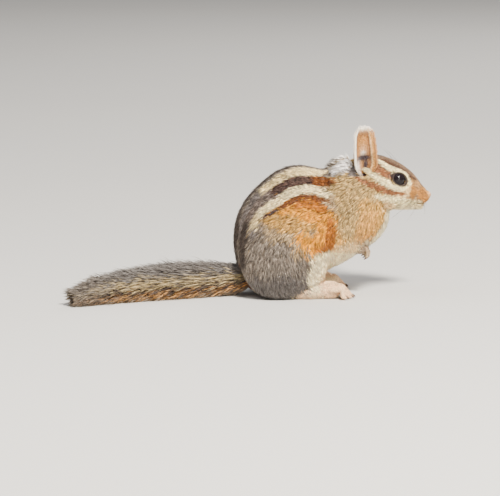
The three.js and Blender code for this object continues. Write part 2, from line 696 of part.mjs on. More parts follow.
// The brush of locks that ends the tail
function tailBrush() {
  const { at, along, side, up } = tailFrame(1);
  const start = at.clone().addScaledVector(along, -2.5);
  const locks = [];
  for (let i = 0; i < BRUSH.locks; i += 1) {
    const angle = ((i + 0.5) / BRUSH.locks) * 2 * Math.PI;
    const out = side.clone().multiplyScalar(Math.cos(angle)).addScaledVector(up, Math.sin(angle));
    const { length, width, lie } = BRUSH;
    const size = { length, width, thick: LOCKS.thick, lieRoot: lie, lieTip: 4 };
    locks.push(lock(start.clone().addScaledVector(out, 0.4), along, out, size));
  }
  return locks;
}

// A cone that opens towards the tip at the locks' own lie, so that a cut along it follows them
function tailCone(share, back) {
  const { at, along } = tailFrame(share);
  const { slope, height } = JOINT_CONE;
  const corners = [[0, 0], [height * Math.tan(rad(slope)), height], [0, height]];
  const profile = corners.map(([r, h]) => new THREE.Vector2(r, h));
  const cone = new THREE.LatheGeometry(profile, 24);
  cone.applyQuaternion(new THREE.Quaternion().setFromUnitVectors(new THREE.Vector3(0, 1, 0), along));
  return toSolid(cone.translate(...at.addScaledVector(along, -back)));
}

function tailLengths() {
  const rump = sculpt(BODY, CELL.thigh, { level: CLEAR });
  const whole = union([tailCore(), ...tailLocks(), ...tailBrush()]).subtract(union([belowFloor(), rump]));
  const backed = GAP / Math.sin(rad(JOINT_CONE.slope));
  const lengths = [];
  let rest = whole;
  for (const share of TAIL_CUTS) {
    lengths.push(largest(rest.subtract(tailCone(share, backed))));
    rest = rest.intersect(tailCone(share, 0));
  }
  return [...lengths, largest(rest)];
}

// The scene
const group = new THREE.Group();

function addPart(name, solid, colour, roughness = 0.9) {
  const material = new THREE.MeshStandardMaterial({ color: colour, roughness, metalness: 0 });
  const mesh = new THREE.Mesh(toGeometry(solid), material);
  mesh.name = name;
  group.add(mesh);
}

addPart('head', head(), COLOUR.tawny);
addPart('nose', nose(), COLOUR.nose, 0.6);
addPart('neck', neck(), COLOUR.grey);
addPart('torso', torso(), COLOUR.tawny);
for (const [suffix, side] of [['left', LEFT], ['right', RIGHT]]) {
  addPart(`ear_${suffix}`, ear(side), COLOUR.ear);
  addPart(`eye_${suffix}`, eyeBall(side, 0), COLOUR.eye, 0.1);
  addPart(`arm_${suffix}`, armLength(side), COLOUR.tawny);
  addPart(`forepaw_${suffix}`, forepaw(side), COLOUR.cream);
  addPart(`thigh_${suffix}`, thigh(side), COLOUR.grey);
  addPart(`foot_${suffix}`, foot(side), COLOUR.cream);
}
tailLengths().forEach((solid, i) => addPart(`tail_${i + 1}`, solid, COLOUR.tail));

// The origin is under the middle of the whole animal, on the floor
const extent = new THREE.Box3().setFromObject(group);
const middle = extent.getCenter(new THREE.Vector3()).divideScalar(GRID).round().multiplyScalar(GRID);
group.position.set(-middle.x, -middle.y, 0);

export default group;
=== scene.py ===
# A western chipmunk sitting up on its haunches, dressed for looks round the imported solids.
# The skin is one sculpted surface, and the coat over it is many small solid tufts of hair.
# Sizes are in millimetres in the frame that the body was sculpted in, and become metres at the end.
# The nose points along +X, the animal's right side faces -Y, and the floor is at z = 0.

import math

import bpy
import numpy as np
from mathutils import Matrix, Vector
from mathutils.kdtree import KDTree


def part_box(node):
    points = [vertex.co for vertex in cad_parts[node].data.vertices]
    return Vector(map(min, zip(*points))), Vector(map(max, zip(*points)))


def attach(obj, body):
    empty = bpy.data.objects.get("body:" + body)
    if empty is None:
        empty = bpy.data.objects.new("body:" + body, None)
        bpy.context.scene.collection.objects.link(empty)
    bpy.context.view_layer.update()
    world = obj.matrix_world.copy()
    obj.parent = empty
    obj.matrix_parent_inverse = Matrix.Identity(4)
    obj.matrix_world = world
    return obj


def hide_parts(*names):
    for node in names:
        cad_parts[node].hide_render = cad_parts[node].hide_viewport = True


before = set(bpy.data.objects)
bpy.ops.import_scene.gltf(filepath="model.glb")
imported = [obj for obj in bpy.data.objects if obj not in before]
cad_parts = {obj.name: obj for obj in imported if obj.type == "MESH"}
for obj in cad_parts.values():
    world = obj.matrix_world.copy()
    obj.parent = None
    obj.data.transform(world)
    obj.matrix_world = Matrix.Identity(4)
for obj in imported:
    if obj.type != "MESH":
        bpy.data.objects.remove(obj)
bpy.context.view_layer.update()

# Sizes that the solids share
MM = 0.001
LEFT, RIGHT = 1, -1
FLIP = np.array([1.0, -1.0, 1.0])
EYE = {"centre": (40.1, 7.1, 48.8), "radius": 3.2, "out": (0.27, 0.94, 0.2), "ball": 0.6}
# The lids' ring, and how far the slit between them reaches to its front and rear corner
LIDS = {"radius": 2.85, "thick": 0.5, "long": 1.1, "low": 0.94, "pitch": 28, "front": 3.9, "rear": 4.4}
EAR = {"base": (25.6, 7.6, 50.8), "width": 9.8, "thick": 0.5}
EAR_TIP = {LEFT: (28.4, 16.4, 68.4), RIGHT: (24.5, 12.6, 71.7)}
EAR_FACE = {LEFT: (0.5, 0.86, 0.05), RIGHT: (0.2, 0.97, 0.05)}
# The ear's width at its base, the shares of its height where it is full, narrows and ends, and how
# much it narrows more towards the tip
EAR_OUTLINE = {"base": 0.3, "full": 0.3, "shoulder": 0.75, "end": 1.006, "slim": 0.12}
EAR_CURL = {"base": 100, "tip": 50}  # half of the cup's arc, in degrees
EAR_MESH = {"rings": 26, "arcs": 22}
EAR_PIT = {"deep": 2.6, "wide": 1.5, "high": 2.6}
NOSE = {"centre": (53.4, 0, 41.4), "radii": (1.7, 2.0, 1.5), "pitch": 20}
NOSTRIL = {"centre": (54.4, 1.2, 41.2), "radii": (1.0, 0.46, 0.42), "pitch": -30, "yaw": -25}
NOSTRIL_SLIT = {"centre": (54.0, 2.0, 41.0), "radii": (0.9, 0.5, 0.24), "pitch": 10}
MOUTH = {"front": (52.4, 0, 38.4), "corner": (46.2, 4.4, 37.4), "steps": 8, "groove": 0.32}
FILLETS = {"lids": 0.7, "mouth": 0.35, "ears": 0.4}
SOLE = 0.05  # the skin's lowest height over the floor
# Each toe's place across the foot at its root and at its tip, and how far forward it reaches
HIND_TOES = [(3.0, 5.2, 17.4), (1.6, 2.7, 19.8), (0.1, 0.3, 20.6), (-1.4, -2.1, 20.0), (-2.9, -4.4, 17.6)]
HIND_FOOT = {"y": 12.6, "ball": 12.0, "knuckle": 16.0, "high": 4.6}
PAW = {"palm": (25.7, 4.9, 19.9), "radii": (2.9, 2.5, 2.5), "fingers": 4, "spread": 1.35}
TAIL_PATH = [
    (-18, 0, 8.2), (-28, -0.4, 7.0), (-44, -2.6, 6.4),
    (-62, -7.4, 6.1), (-79, -14.2, 5.4), (-91.5, -20.6, 4.2),
]
TAIL_CORE = {"root": 2.7, "middle": 2.6, "tip": 0.8}

HEAD_CUT = {"at": (27.6, 0, 45.8), "slope": 32}
LIMB_COAT = 0.62  # shorter coats than this, outside the head, are on the limbs

# Where the sculpting frame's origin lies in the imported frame
eye_low, eye_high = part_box("eye_right")
SHIFT = np.array((eye_low + eye_high) / 2) - np.array(EYE["centre"]) * FLIP * MM

random = np.random.default_rng(11)


def unit(v):
    v = np.asarray(v, float)
    return v / np.maximum(np.linalg.norm(v, axis=-1, keepdims=True), 1e-12)


def smooth_step(low, high, x):
    t = np.clip((x - low) / (high - low), 0, 1)
    return t * t * (3 - 2 * t)


def mix(a, b, t):
    return a + (b - a) * t


def fold(points):
    """Places on the right side moved to the same place on the left."""
    return points * [1, 0, 1] + np.abs(points) * [0, 1, 0]


def interpolate(at, places, rows):
    """Rows of three numbers, read between the places where they are given."""
    return np.stack([np.interp(at, places, rows[:, i]) for i in range(3)], axis=1)


def varied(spread, count):
    """Random factors round 1."""
    return np.exp(random.normal(0, spread, count))


# Masses of flesh. Each has a distance function, the width of its fillet, its coat's depth,
# and whether it is paired on the other side.
def blob(centre, radii, blend=0, coat=0, pitch=0, yaw=0, pair=False):
    p, y = math.radians(pitch), math.radians(yaw)
    nose_down = np.array([[math.cos(p), 0, math.sin(p)], [0, 1, 0], [-math.sin(p), 0, math.cos(p)]])
    sideways = np.array([[math.cos(y), -math.sin(y), 0], [math.sin(y), math.cos(y), 0], [0, 0, 1]])
    turn = sideways @ nose_down
    radii = np.array(radii)

    def distance(points):
        q = (points - centre) @ turn / radii
        scaled = np.sqrt(np.einsum("ij,ij->i", q, q))
        q = q / radii
        slope = np.sqrt(np.einsum("ij,ij->i", q, q))
        return scaled * (scaled - 1) / np.maximum(slope, 1e-9)

    return distance, blend, coat, pair


def limb(start, end, start_radius, end_radius, blend=0, coat=0, wide=1, pair=False):
    squeeze = np.array([1, 1 / wide, 1])
    start = np.array(start) * squeeze
    line = np.array(end) * squeeze - start

    def distance(points):
        q = points * squeeze - start
        t = np.clip(q @ line / (line @ line), 0, 1)
        q = q - t[:, None] * line
        return np.sqrt(np.einsum("ij,ij->i", q, q)) - mix(start_radius, end_radius, t)

    return distance, blend, coat, pair


def chain(points, radii, blend, coat, pair=False):
    parts = [limb(*ends)[0] for ends in zip(points, points[1:], radii, radii[1:])]

    def distance(places):
        return np.min([part(places) for part in parts], axis=0)

    return distance, blend, coat, pair


TRUNK = [
    blob((-1.5, 0, 29.8), (21, 19, 24.7), 6, 1.5, pitch=6),  # belly and middle of the back
    blob((-13, 0, 19.9), (14.7, 16.5, 22.1), 8, 1.6, pitch=-8),  # rump
    blob((15.2, 0, 32.9), (20, 15.5, 16.6), 8, 1.5, pitch=-8),  # rib cage
    blob((26.8, 0, 33.8), (10, 12.3, 11.6), 6, 1.5),  # breast
    blob((12.6, 0, 23.0), (11.5, 12, 9.5), 6, 1.3),  # front of the belly
    blob((20.2, 9.5, 38.9), (10, 6.5, 14), 5, 1.4, pitch=8, pair=True),  # shoulders
    blob((-10.4, 13, 17.6), (15.6, 9.6, 18.2), 5, 1.6, yaw=6, pair=True),  # haunches
    blob((0.8, 11.3, 14.2), (9.4, 7.2, 12.2), 4, 1.4, pair=True),  # insides of the thighs
]
NAPE = [
    limb((20.2, 0, 44.4), (30.4, 0, 46.6), 10.7, 9.3, 6, 1.4, wide=1.1),  # neck
    blob((18.0, 6.6, 54.0), (5.0, 3.4, 3.8), 3, 1.8, pitch=-28, pair=True),  # long hair behind the ears
]
SKULL = [
    blob((32.9, 0, 49.1), (11.5, 10.2, 8.6), 5, 0.85, pitch=22),  # crown
    blob((41.6, 0, 46.5), (9.5, 8.2, 6.8), 4, 0.6, pitch=36),  # face
    blob((36.6, 5.5, 42.2), (9, 5, 5.4), 4, 0.85, pitch=12, pair=True),  # cheeks
    limb((43.8, 0, 44.1), (52.9, 0, 41.1), 5.3, 2.4, 3, 0.35, wide=1.1),  # bridge of the nose
    blob((49.6, 2.3, 40.3), (3.6, 2.1, 2.2), 2, 0.35, pitch=20, pair=True),  # whisker pads
    limb((41.3, 0, 38.3), (50.4, 0, 36.8), 3.3, 1.8, 2, 0.4, wide=1.5),  # lower jaw
    blob((41.6, 6.2, 51.6), (3.6, 2, 1.6), 2, 0.4, pitch=26, pair=True),  # brows
]


def arm():
    return [
        limb((20, 10.8, 34), (15.2, 13.4, 22.8), 5.2, 3.7, 3, 0.9, pair=True),
        limb((15.2, 13.4, 22.8), (23.9, 6.6, 20.2), 3.7, 2.4, 2, 0.5, pair=True),
    ]


def finger_points(i):
    shift = (i - (PAW["fingers"] - 1) / 2) * PAW["spread"]
    x, y, z = PAW["palm"]
    reach = 1 - 0.18 * abs(shift)
    tip = (x + 2.7 * reach, y + 1.15 * shift, z - 3.3)
    return [
        (x + 0.8, y + shift, z + 0.2), (x + 2.9 * reach, y + 1.1 * shift, z - 1.5),
        tip, (tip[0] - 0.7, tip[1], tip[2] - 0.55),
    ]


def forepaw():
    fingers = []
    for i in range(PAW["fingers"]):
        fingers.append(chain(finger_points(i), [0.85, 0.8, 0.7, 0.45], 0.3, 0.1, pair=True))
    return [blob(PAW["palm"], PAW["radii"], 1.5, 0.3, pair=True), *fingers]


def toe_points(root, tip, reach):
    y = HIND_FOOT["y"]
    bend = (reach - HIND_FOOT["knuckle"]) / 3
    return [
        (HIND_FOOT["ball"] - 0.5, y + root, 3.9),
        (HIND_FOOT["knuckle"] + 0.4 * bend, y + mix(root, tip, 0.55), HIND_FOOT["high"] - 0.3),
        (reach - 1.2, y + tip, 1.45), (reach - 0.2, y + tip * 1.04, 1.1),
    ]


def hind_foot():
    y, ball = HIND_FOOT["y"], HIND_FOOT["ball"]
    toes = [chain(toe_points(*toe), [1.4, 1.3, 1.1, 0.75], 0.4, 0.15, pair=True) for toe in HIND_TOES]
    return [
        limb((-7, 12, 2.9), (3, y, 3.1), 3.3, 3.5, 2, 0.3, pair=True),
        limb((3, y, 3.1), (ball, y, 3.5), 3.5, 3.8, 2, 0.3, pair=True),
        *toes,
    ]


# Tail
def smooth_line(points, count):
    """Points evenly spaced along a smooth curve through the given ones."""
    p = np.array(points, float)
    p = np.vstack([2 * p[0] - p[1], p, 2 * p[-1] - p[-2]])
    fine = []
    for a, b, c, d in zip(p, p[1:], p[2:], p[3:]):
        t = np.linspace(0, 1, 40, endpoint=False)[:, None]
        square, cube = 2 * a - 5 * b + 4 * c - d, 3 * b - a - 3 * c + d
        fine.append(0.5 * (2 * b + (c - a) * t + square * t**2 + cube * t**3))
    fine = np.vstack([*fine, p[-2:-1]])
    run = np.concatenate([[0], np.cumsum(np.linalg.norm(np.diff(fine, axis=0), axis=1))])
    return interpolate(np.linspace(0, run[-1], count), run, fine)


TAIL_LINE = smooth_line(TAIL_PATH, 60)


def core_radius(share):
    thin = mix(TAIL_CORE["middle"], TAIL_CORE["tip"], np.clip((share - 0.3) / 0.7, 0, 1) ** 1.6)
    return np.where(share < 0.3, mix(TAIL_CORE["root"], TAIL_CORE["middle"], share / 0.3), thin)


def tail_core():
    line = smooth_line(TAIL_PATH, 14)
    return [chain([tuple(p) for p in line], core_radius(np.linspace(0, 1, 14)), 4, 0)]


BODY = [*TRUNK, *NAPE, *SKULL]
LIMBS = [*arm(), *forepaw(), *hind_foot()]
FLESH = [*BODY, *LIMBS, *tail_core()]


# Signed distances
def smooth_min(a, b, width):
    share = np.maximum(width - np.abs(a - b), 0) / width
    return np.minimum(a, b) - share * share * width / 4


def distance_to(points, masses, coat=0.0):
    """Distance to the surface round the masses: the coat's with coat 0, the skin's with coat 1."""
    total = None
    for distance, blend, depth, pair in masses:
        d = distance(points)
        if pair:
            d = np.minimum(d, distance(points * FLIP))
        d = d + coat * depth
        total = d if total is None else smooth_min(total, d, blend)
    return total


def coat_level(points):
    return distance_to(points, FLESH)


def lid_frame():
    out = unit(EYE["out"])
    forward = unit(np.array([out[1], -out[0], 0]))
    upward = np.cross(out, forward)
    upward *= np.sign(upward[2])
    pitch = math.radians(LIDS["pitch"])
    length = math.cos(pitch) * forward - math.sin(pitch) * upward
    height = math.cos(pitch) * upward + math.sin(pitch) * forward
    return length, height, out


def lid_place(points):
    """Places seen from the eye: along its slit, across it, and outwards, in millimetres."""
    folded = fold(points) - EYE["centre"]
    length, height, out = lid_frame()
    return folded @ length, folded @ height, folded @ out


def lid_ring(u, v):
    """How far outside the middle of the lids' ring a place lies."""
    long = np.where(u > 0, LIDS["long"] * 1.07, LIDS["long"])
    return np.hypot(u / long, v / LIDS["low"]) - LIDS["radius"]


def in_slit(u, v, margin=0.0):
    """Whether a place lies in the almond between the lids, with its two corners."""
    reach = np.where(u > 0, LIDS["front"], LIDS["rear"])
    almond = np.abs(v) < LIDS["radius"] * LIDS["low"] * (1 - (u / reach) ** 2) + margin
    return almond | (lid_ring(u / 1.08, v) < 0.3 + margin)


def lid_distance(points):
    u, v, w = lid_place(points)
    return np.hypot(lid_ring(u, v), w - EYE["radius"] * EYE["ball"]) - LIDS["thick"]


def polyline_distance(points, line):
    best = None
    for a, b in zip(line, line[1:]):
        q = points - a
        t = np.clip(q @ (b - a) / ((b - a) @ (b - a)), 0, 1)
        q = q - t[:, None] * (b - a)
        d = np.sqrt(np.einsum("ij,ij->i", q, q))
        best = d if best is None else np.minimum(best, d)
    return best


def bare_skin(points):
    return distance_to(points, FLESH, 1.0)


def slope_of(level, points):
    """How the level changes along x, y and z, over a short step h each way."""
    h = 0.03
    steps = np.eye(3) * h
    return np.stack([(level(points + step) - level(points - step)) / (2 * h) for step in steps], axis=1)


def settle(level, points, passes=2):
    """Moves points straight to the level's zero surface."""
    for _ in range(passes):
        slope = slope_of(level, points)
        points = points - slope * (level(points) / np.maximum((slope**2).sum(axis=1), 0.05))[:, None]
    return points


def mouth_line():
    rows = []
    for i in range(-MOUTH["steps"], MOUTH["steps"] + 1):
        t = abs(i) / MOUTH["steps"]
        y = np.sign(i) * MOUTH["corner"][1] * math.sqrt(1 - (1 - t) ** 2)
        x = mix(MOUTH["front"][0], MOUTH["corner"][0], t * t)
        rows.append((x, y, mix(MOUTH["front"][2], MOUTH["corner"][2], t)))
    return settle(bare_skin, np.array(rows, float), passes=4)


MOUTH_LINE = mouth_line()


def skin_level(points):
    """The skin with its lids, its mouth's groove and the hollows of its ears."""
    d = smooth_min(bare_skin(points), lid_distance(points), FILLETS["lids"])
    groove = np.full(len(points), 9.0)
    near = points[:, 0] > 42
    groove[near] = polyline_distance(points[near], MOUTH_LINE) - MOUTH["groove"]
    d = -smooth_min(-d, groove, FILLETS["mouth"])
    for side in (LEFT, RIGHT):
        d = -smooth_min(-d, ear_pit(points, side), FILLETS["ears"])
    return np.maximum(d, SOLE - points[:, 2])


# Meshes
def spaced(stops):
    """Grid lines from (start, cell) stops, the last of which is the end."""
    lines = []
    for (start, cell), (end, _) in zip(stops, stops[1:]):
        lines.append(np.linspace(start, end, round((end - start) / cell), endpoint=False))
    return np.concatenate([*lines, [stops[-1][0]]])


def in_chunks(level, points, size=150000):
    return np.concatenate([level(points[i:i + size]) for i in range(0, len(points), size)])


def sample_grid(level, axes, block=6):
    """The level at each grid point near the surface, and at its block's middle elsewhere."""
    middles = [a[np.minimum(np.arange(0, len(a), block) + block // 2, len(a) - 1)] for a in axes]
    grid = np.stack(np.meshgrid(*middles, indexing="ij"), axis=-1)
    rough = in_chunks(level, grid.reshape(-1, 3)).reshape(grid.shape[:3])
    reach = 1.5 * block * max(np.diff(a).max() for a in axes)
    for axis in range(3):
        rough = np.repeat(rough, block, axis=axis)
    rough = rough[:len(axes[0]), :len(axes[1]), :len(axes[2])]
    near = np.nonzero(np.abs(rough) < reach)
    values = rough.copy()
    values[near] = in_chunks(level, np.stack([a[i] for a, i in zip(axes, near)], axis=1))
    return values


def surface_nets(level, axes):
    """Points and quads of the level's zero surface: one point in each grid cell that it crosses."""
    values = sample_grid(level, axes)
    inside = values < 0
    n = inside[:-1, :-1, :-1].astype(np.int8)
    corners = [(i, j, k) for i in (0, 1) for j in (0, 1) for k in (0, 1)]
    wide, deep, high = n.shape
    count = sum(inside[i:i + wide, j:j + deep, k:k + high].astype(np.int8) for i, j, k in corners)
    cells = np.nonzero((count > 0) & (count < 8))
    number = np.full(n.shape, -1, np.int64)
    number[cells] = np.arange(len(cells[0]))
    total = np.zeros((len(cells[0]), 3))
    crossings = np.zeros(len(cells[0]))
    for corner in corners:
        for axis in range(3):
            if corner[axis]:
                continue
            other = list(corner)
            other[axis] = 1
            a = tuple(c + o for c, o in zip(cells, corner))
            b = tuple(c + o for c, o in zip(cells, other))
            va, vb = values[a], values[b]
            cut = (va < 0) != (vb < 0)
            t = np.where(cut, va / np.where(cut, va - vb, 1), 0)
            pa, pb = (np.stack([axes[m][end[m]] for m in range(3)], axis=1) for end in (a, b))
            total += np.where(cut[:, None], pa + (pb - pa) * t[:, None], 0)
            crossings += cut
    points = settle(level, total / crossings[:, None])
    quads = []
    for axis in range(3):
        u, v = (axis + 1) % 3, (axis + 2) % 3
        low = [slice(1, -1)] * 3
        high = list(low)
        high[axis] = slice(2, None)
        change = inside[tuple(low)] != inside[tuple(high)]
        at = np.stack(np.nonzero(change), axis=1) + 1
        turn = ~inside[tuple(at.T)]
        ring = []
        for du, dv in ((-1, -1), (0, -1), (0, 0), (-1, 0)):
            c = at.copy()
            c[:, u] += du
            c[:, v] += dv
            ring.append(number[tuple(c.T)])
        quad = np.stack(ring, axis=1)
        quad[turn] = quad[turn][:, ::-1]
        quads.append(quad)
    return points, np.concatenate(quads)


def add_object(name, data):
    item = bpy.data.objects.new(name, data)
    bpy.context.scene.collection.objects.link(item)
    return item


def add_mesh(name, points, faces, material):
    """A smooth mesh object from points in the sculpting frame and a list of face arrays."""
    mesh = bpy.data.meshes.new(name)
    sizes = np.concatenate([np.full(len(f), f.shape[1]) for f in faces])
    loops = np.concatenate([f.ravel() for f in faces]).astype(np.int32)
    mesh.vertices.add(len(points))
    mesh.vertices.foreach_set("co", (points * MM + SHIFT).astype(np.float32).ravel())
    mesh.loops.add(len(loops))
    mesh.loops.foreach_set("vertex_index", loops)
    mesh.polygons.add(len(sizes))
    mesh.polygons.foreach_set("loop_start", np.concatenate([[0], np.cumsum(sizes)[:-1]]).astype(np.int32))
    mesh.polygons.foreach_set("loop_total", sizes.astype(np.int32))
    mesh.polygons.foreach_set("use_smooth", np.full(len(sizes), True))
    mesh.update(calc_edges=True)
    mesh.validate()
    mesh.materials.append(material)
    return add_object(name, mesh)


def paint(piece, colours):
    """Keeps a linear colour for each point of the mesh, for its material to read."""
    attribute = piece.data.color_attributes.new("tone", "FLOAT_COLOR", "POINT")
    rows = np.ones((len(piece.data.vertices), 4), np.float32)
    rows[:, :3] = colours
    attribute.data.foreach_set("color", rows.ravel())


# Markings
def linear(*tone):
    """A screen colour, or several, in linear light."""
    c = np.array(tone) / 255
    return np.where(c <= 0.04045, c / 12.92, ((c + 0.055) / 1.055) ** 2.4)


# Each kind of coat: its hairs' band and tips, their root (the hairs' own dark base, and painted shade
# between tufts), and the share of hairs with dark tips
COATS = {
    "tawny": ((212, 160, 74), (228, 184, 106), (104, 76, 46), 0.2),
    "orange": ((231, 154, 10), (238, 168, 34), (128, 82, 30), 0.07),
    "amber": ((186, 108, 0), (196, 118, 4), (98, 56, 16), 0.1),
    "gold": ((238, 176, 84), (246, 194, 112), (120, 86, 46), 0.12),
    "grizzled": ((135, 121, 108), (184, 171, 158), (58, 50, 48), 0.48),
    "slate": ((100, 92, 88), (140, 132, 128), (50, 46, 46), 0.48),
    "dun": ((186, 158, 118), (208, 180, 142), (82, 66, 52), 0.36),
    "olive": ((202, 165, 98), (234, 204, 144), (88, 72, 46), 0.28),
    "pale": ((242, 215, 157), (252, 230, 182), (132, 112, 86), 0.1),
    "ash": ((130, 119, 114), (158, 147, 143), (70, 62, 60), 0.3),
    "white": ((255, 233, 180), (255, 241, 200), (160, 138, 110), 0.04),
    "cream": ((255, 236, 180), (255, 244, 200), (182, 152, 108), 0.0),
    "belly": ((255, 239, 194), (255, 245, 212), (196, 170, 134), 0.0),
    "dark": ((88, 62, 54), (84, 60, 54), (44, 34, 30), 0.3),
    "dusk": ((134, 117, 108), (152, 137, 128), (60, 52, 48), 0.34),
    # the dark line down the back, made darker still as painted shade at the rump's rear edge
    "sable_and_shade": ((70, 58, 52), (106, 92, 80), (32, 28, 26), 0.5),
    "rust": ((129, 71, 17), (128, 70, 20), (70, 42, 18), 0.18),
    "crown": ((112, 84, 62), (156, 126, 98), (62, 48, 38), 0.36),
    "brow": ((96, 64, 44), (100, 70, 52), (56, 40, 32), 0.3),
    "brown": ((159, 102, 62), (156, 101, 62), (82, 56, 40), 0.16),
    "muzzle": ((192, 128, 52), (210, 152, 80), (122, 80, 44), 0.18),
    "bridge": ((186, 138, 84), (206, 164, 112), (116, 84, 56), 0.2),
    "buff": ((242, 206, 146), (250, 222, 172), (150, 122, 88), 0.04),
    "foot": ((252, 212, 168), (255, 222, 186), (180, 142, 112), 0.0),
    "paw": ((172, 142, 112), (192, 166, 138), (96, 76, 62), 0.2),
    "silver": ((254, 248, 244), (255, 252, 252), (104, 94, 104), 0.02),
}
COAT_NAMES = list(COATS)
BANDS, TIPS, ROOTS_AND_GAP_SHADE = (linear(*tones) for tones in list(zip(*COATS.values()))[:3])
DARK_SHARES = np.array([dark for *_, dark in COATS.values()])
DARK_TIP = linear(56, 44, 36)
# The eye's slit; painted shade in the ears' pits; the mouth's line, partly its lips' own darker skin and
# partly painted shade in its groove
SKIN_TONES_AND_SHADE = {"slit": linear(34, 26, 28), "ear pit shade": linear(70, 52, 54), "mouth": linear(92, 58, 48)}
PATCH_EDGE = 5  # how sharply one plain area gives way to the next
BORDER_MIX = 0.32  # how far tufts of one marking stray into the next, in millimetres
STRIPE_EDGE = (0.75, 1.5)  # where a stripe starts to fade and where it ends, over its half width

# Plain areas of the coat on the left side, by kind: (x, y, z, reach) in millimetres
PATCHES = {
    "grizzled": [
        (10, 0, 54, 9), (-8, 0, 52, 9), (-22, 0, 42, 9), (-17, 19, 26, 6), (-9, 22, 20, 9),
        (-2.5, 22, 14, 6), (-17, 20, 14, 9), (-23, 10, 13, 7), (-25, 6, 20, 5),
    ],
    "dun": [
        (11, 16, 41, 5), (3, 19.5, 28.5, 2.4), (-8, 21, 27, 5), (-14.5, 20, 28, 6), (-4, 22, 21, 6),
        (9, 12.3, 47.2, 2.5),
    ],
    "orange": [
        (0, 18, 37, 7), (7, 18, 35, 6), (-6.5, 17.5, 38, 5), (9, 18, 31, 5), (9, 18, 25, 5),
        (-1, 21, 25, 6), (4, 18, 24, 5),
    ],
    "tawny": [
        (-6, 20, 32, 7), (-12, 19, 33, 5), (1, 20, 31, 4), (26, 15, 39, 5), (14, 17, 26, 4),
        (32, 12, 38.5, 4), (33, 10, 34, 3.5), (32, 10.5, 30, 3),
    ],
    "slate": [(-10, 21, 5, 9), (-2, 20, 5, 5), (-18, 17, 6, 6)],
    # painted shade at the rear of the rump
    "sable_and_shade": [(-24, 0, 22, 9)],
    "dusk": [
        (-7, 13, 46.4, 2.5), (-1, 12.8, 48.2, 2.5), (-13.5, 12.6, 42.3, 2.5), (-18, 12.2, 38.6, 2.5),
        (-22, 0, 10, 6),
    ],
    "rust": [(4, 12.5, 48.2, 2.5), (-20, 0, 6, 6)],
    "olive": [
        (15, 14, 47, 7), (19, 14, 45, 7), (15, 17, 41, 5), (19, 17, 36, 6), (18, 17, 30, 5),
        (26, 13, 44, 6), (18, 0, 54, 7), (31, 11.5, 41, 4), (28, 13, 43, 4), (17, 15, 27, 4),
    ],
    "gold": [(28, 14, 33, 7), (25, 14, 28, 5)],
    "belly": [
        (36.5, 0, 36, 6), (35, 6, 34, 3), (33.5, 7, 29, 3), (31, 0, 26, 7), (22, 0, 20, 7),
        (19, 8.5, 17, 4), (14, 6, 16, 8), (7, 17, 13, 6), (11, 13, 15, 4), (4.5, 17, 9, 4), (4, 8, 8, 8),
        (-5, 6, 3, 7), (-11, 0, 1, 8), (48, 0, 35, 4), (40, 0, 34, 5), (16, 8, 20, 4),
    ],
    "cream": [(15, 14, 19.5, 3), (7, 17, 19, 3)],
    "crown": [(28, 0, 58, 8), (38, 0, 56, 6), (46, 0, 51, 4), (50, 0, 46.6, 3)],
    "bridge": [(48.3, 4.4, 45.8, 3), (53, 0, 43.5, 2), (48.5, 5.2, 41.5, 1.6)],
    "muzzle": [(50, 3.5, 42, 3), (47, 6.5, 43.5, 3), (51.5, 2.5, 39.6, 2)],
    "buff": [(44, 8, 44.5, 2), (36, 10, 39, 4), (15, 14, 22, 4), (20, 10, 21, 4)],
    "white": [(49, 4, 37.5, 2.5), (42, 7, 37, 4)],
    "silver": [(18, 7, 55, 5), (14.5, 8, 54, 4)],
    "ash": [(20.5, 11, 53, 3)],
    "paw": [(26, 5, 19, 4), (23, 7, 20, 3)],
    "foot": [(0, 13, 3, 4), (10, 13, 5, 5), (18, 13, 3, 5)],
}

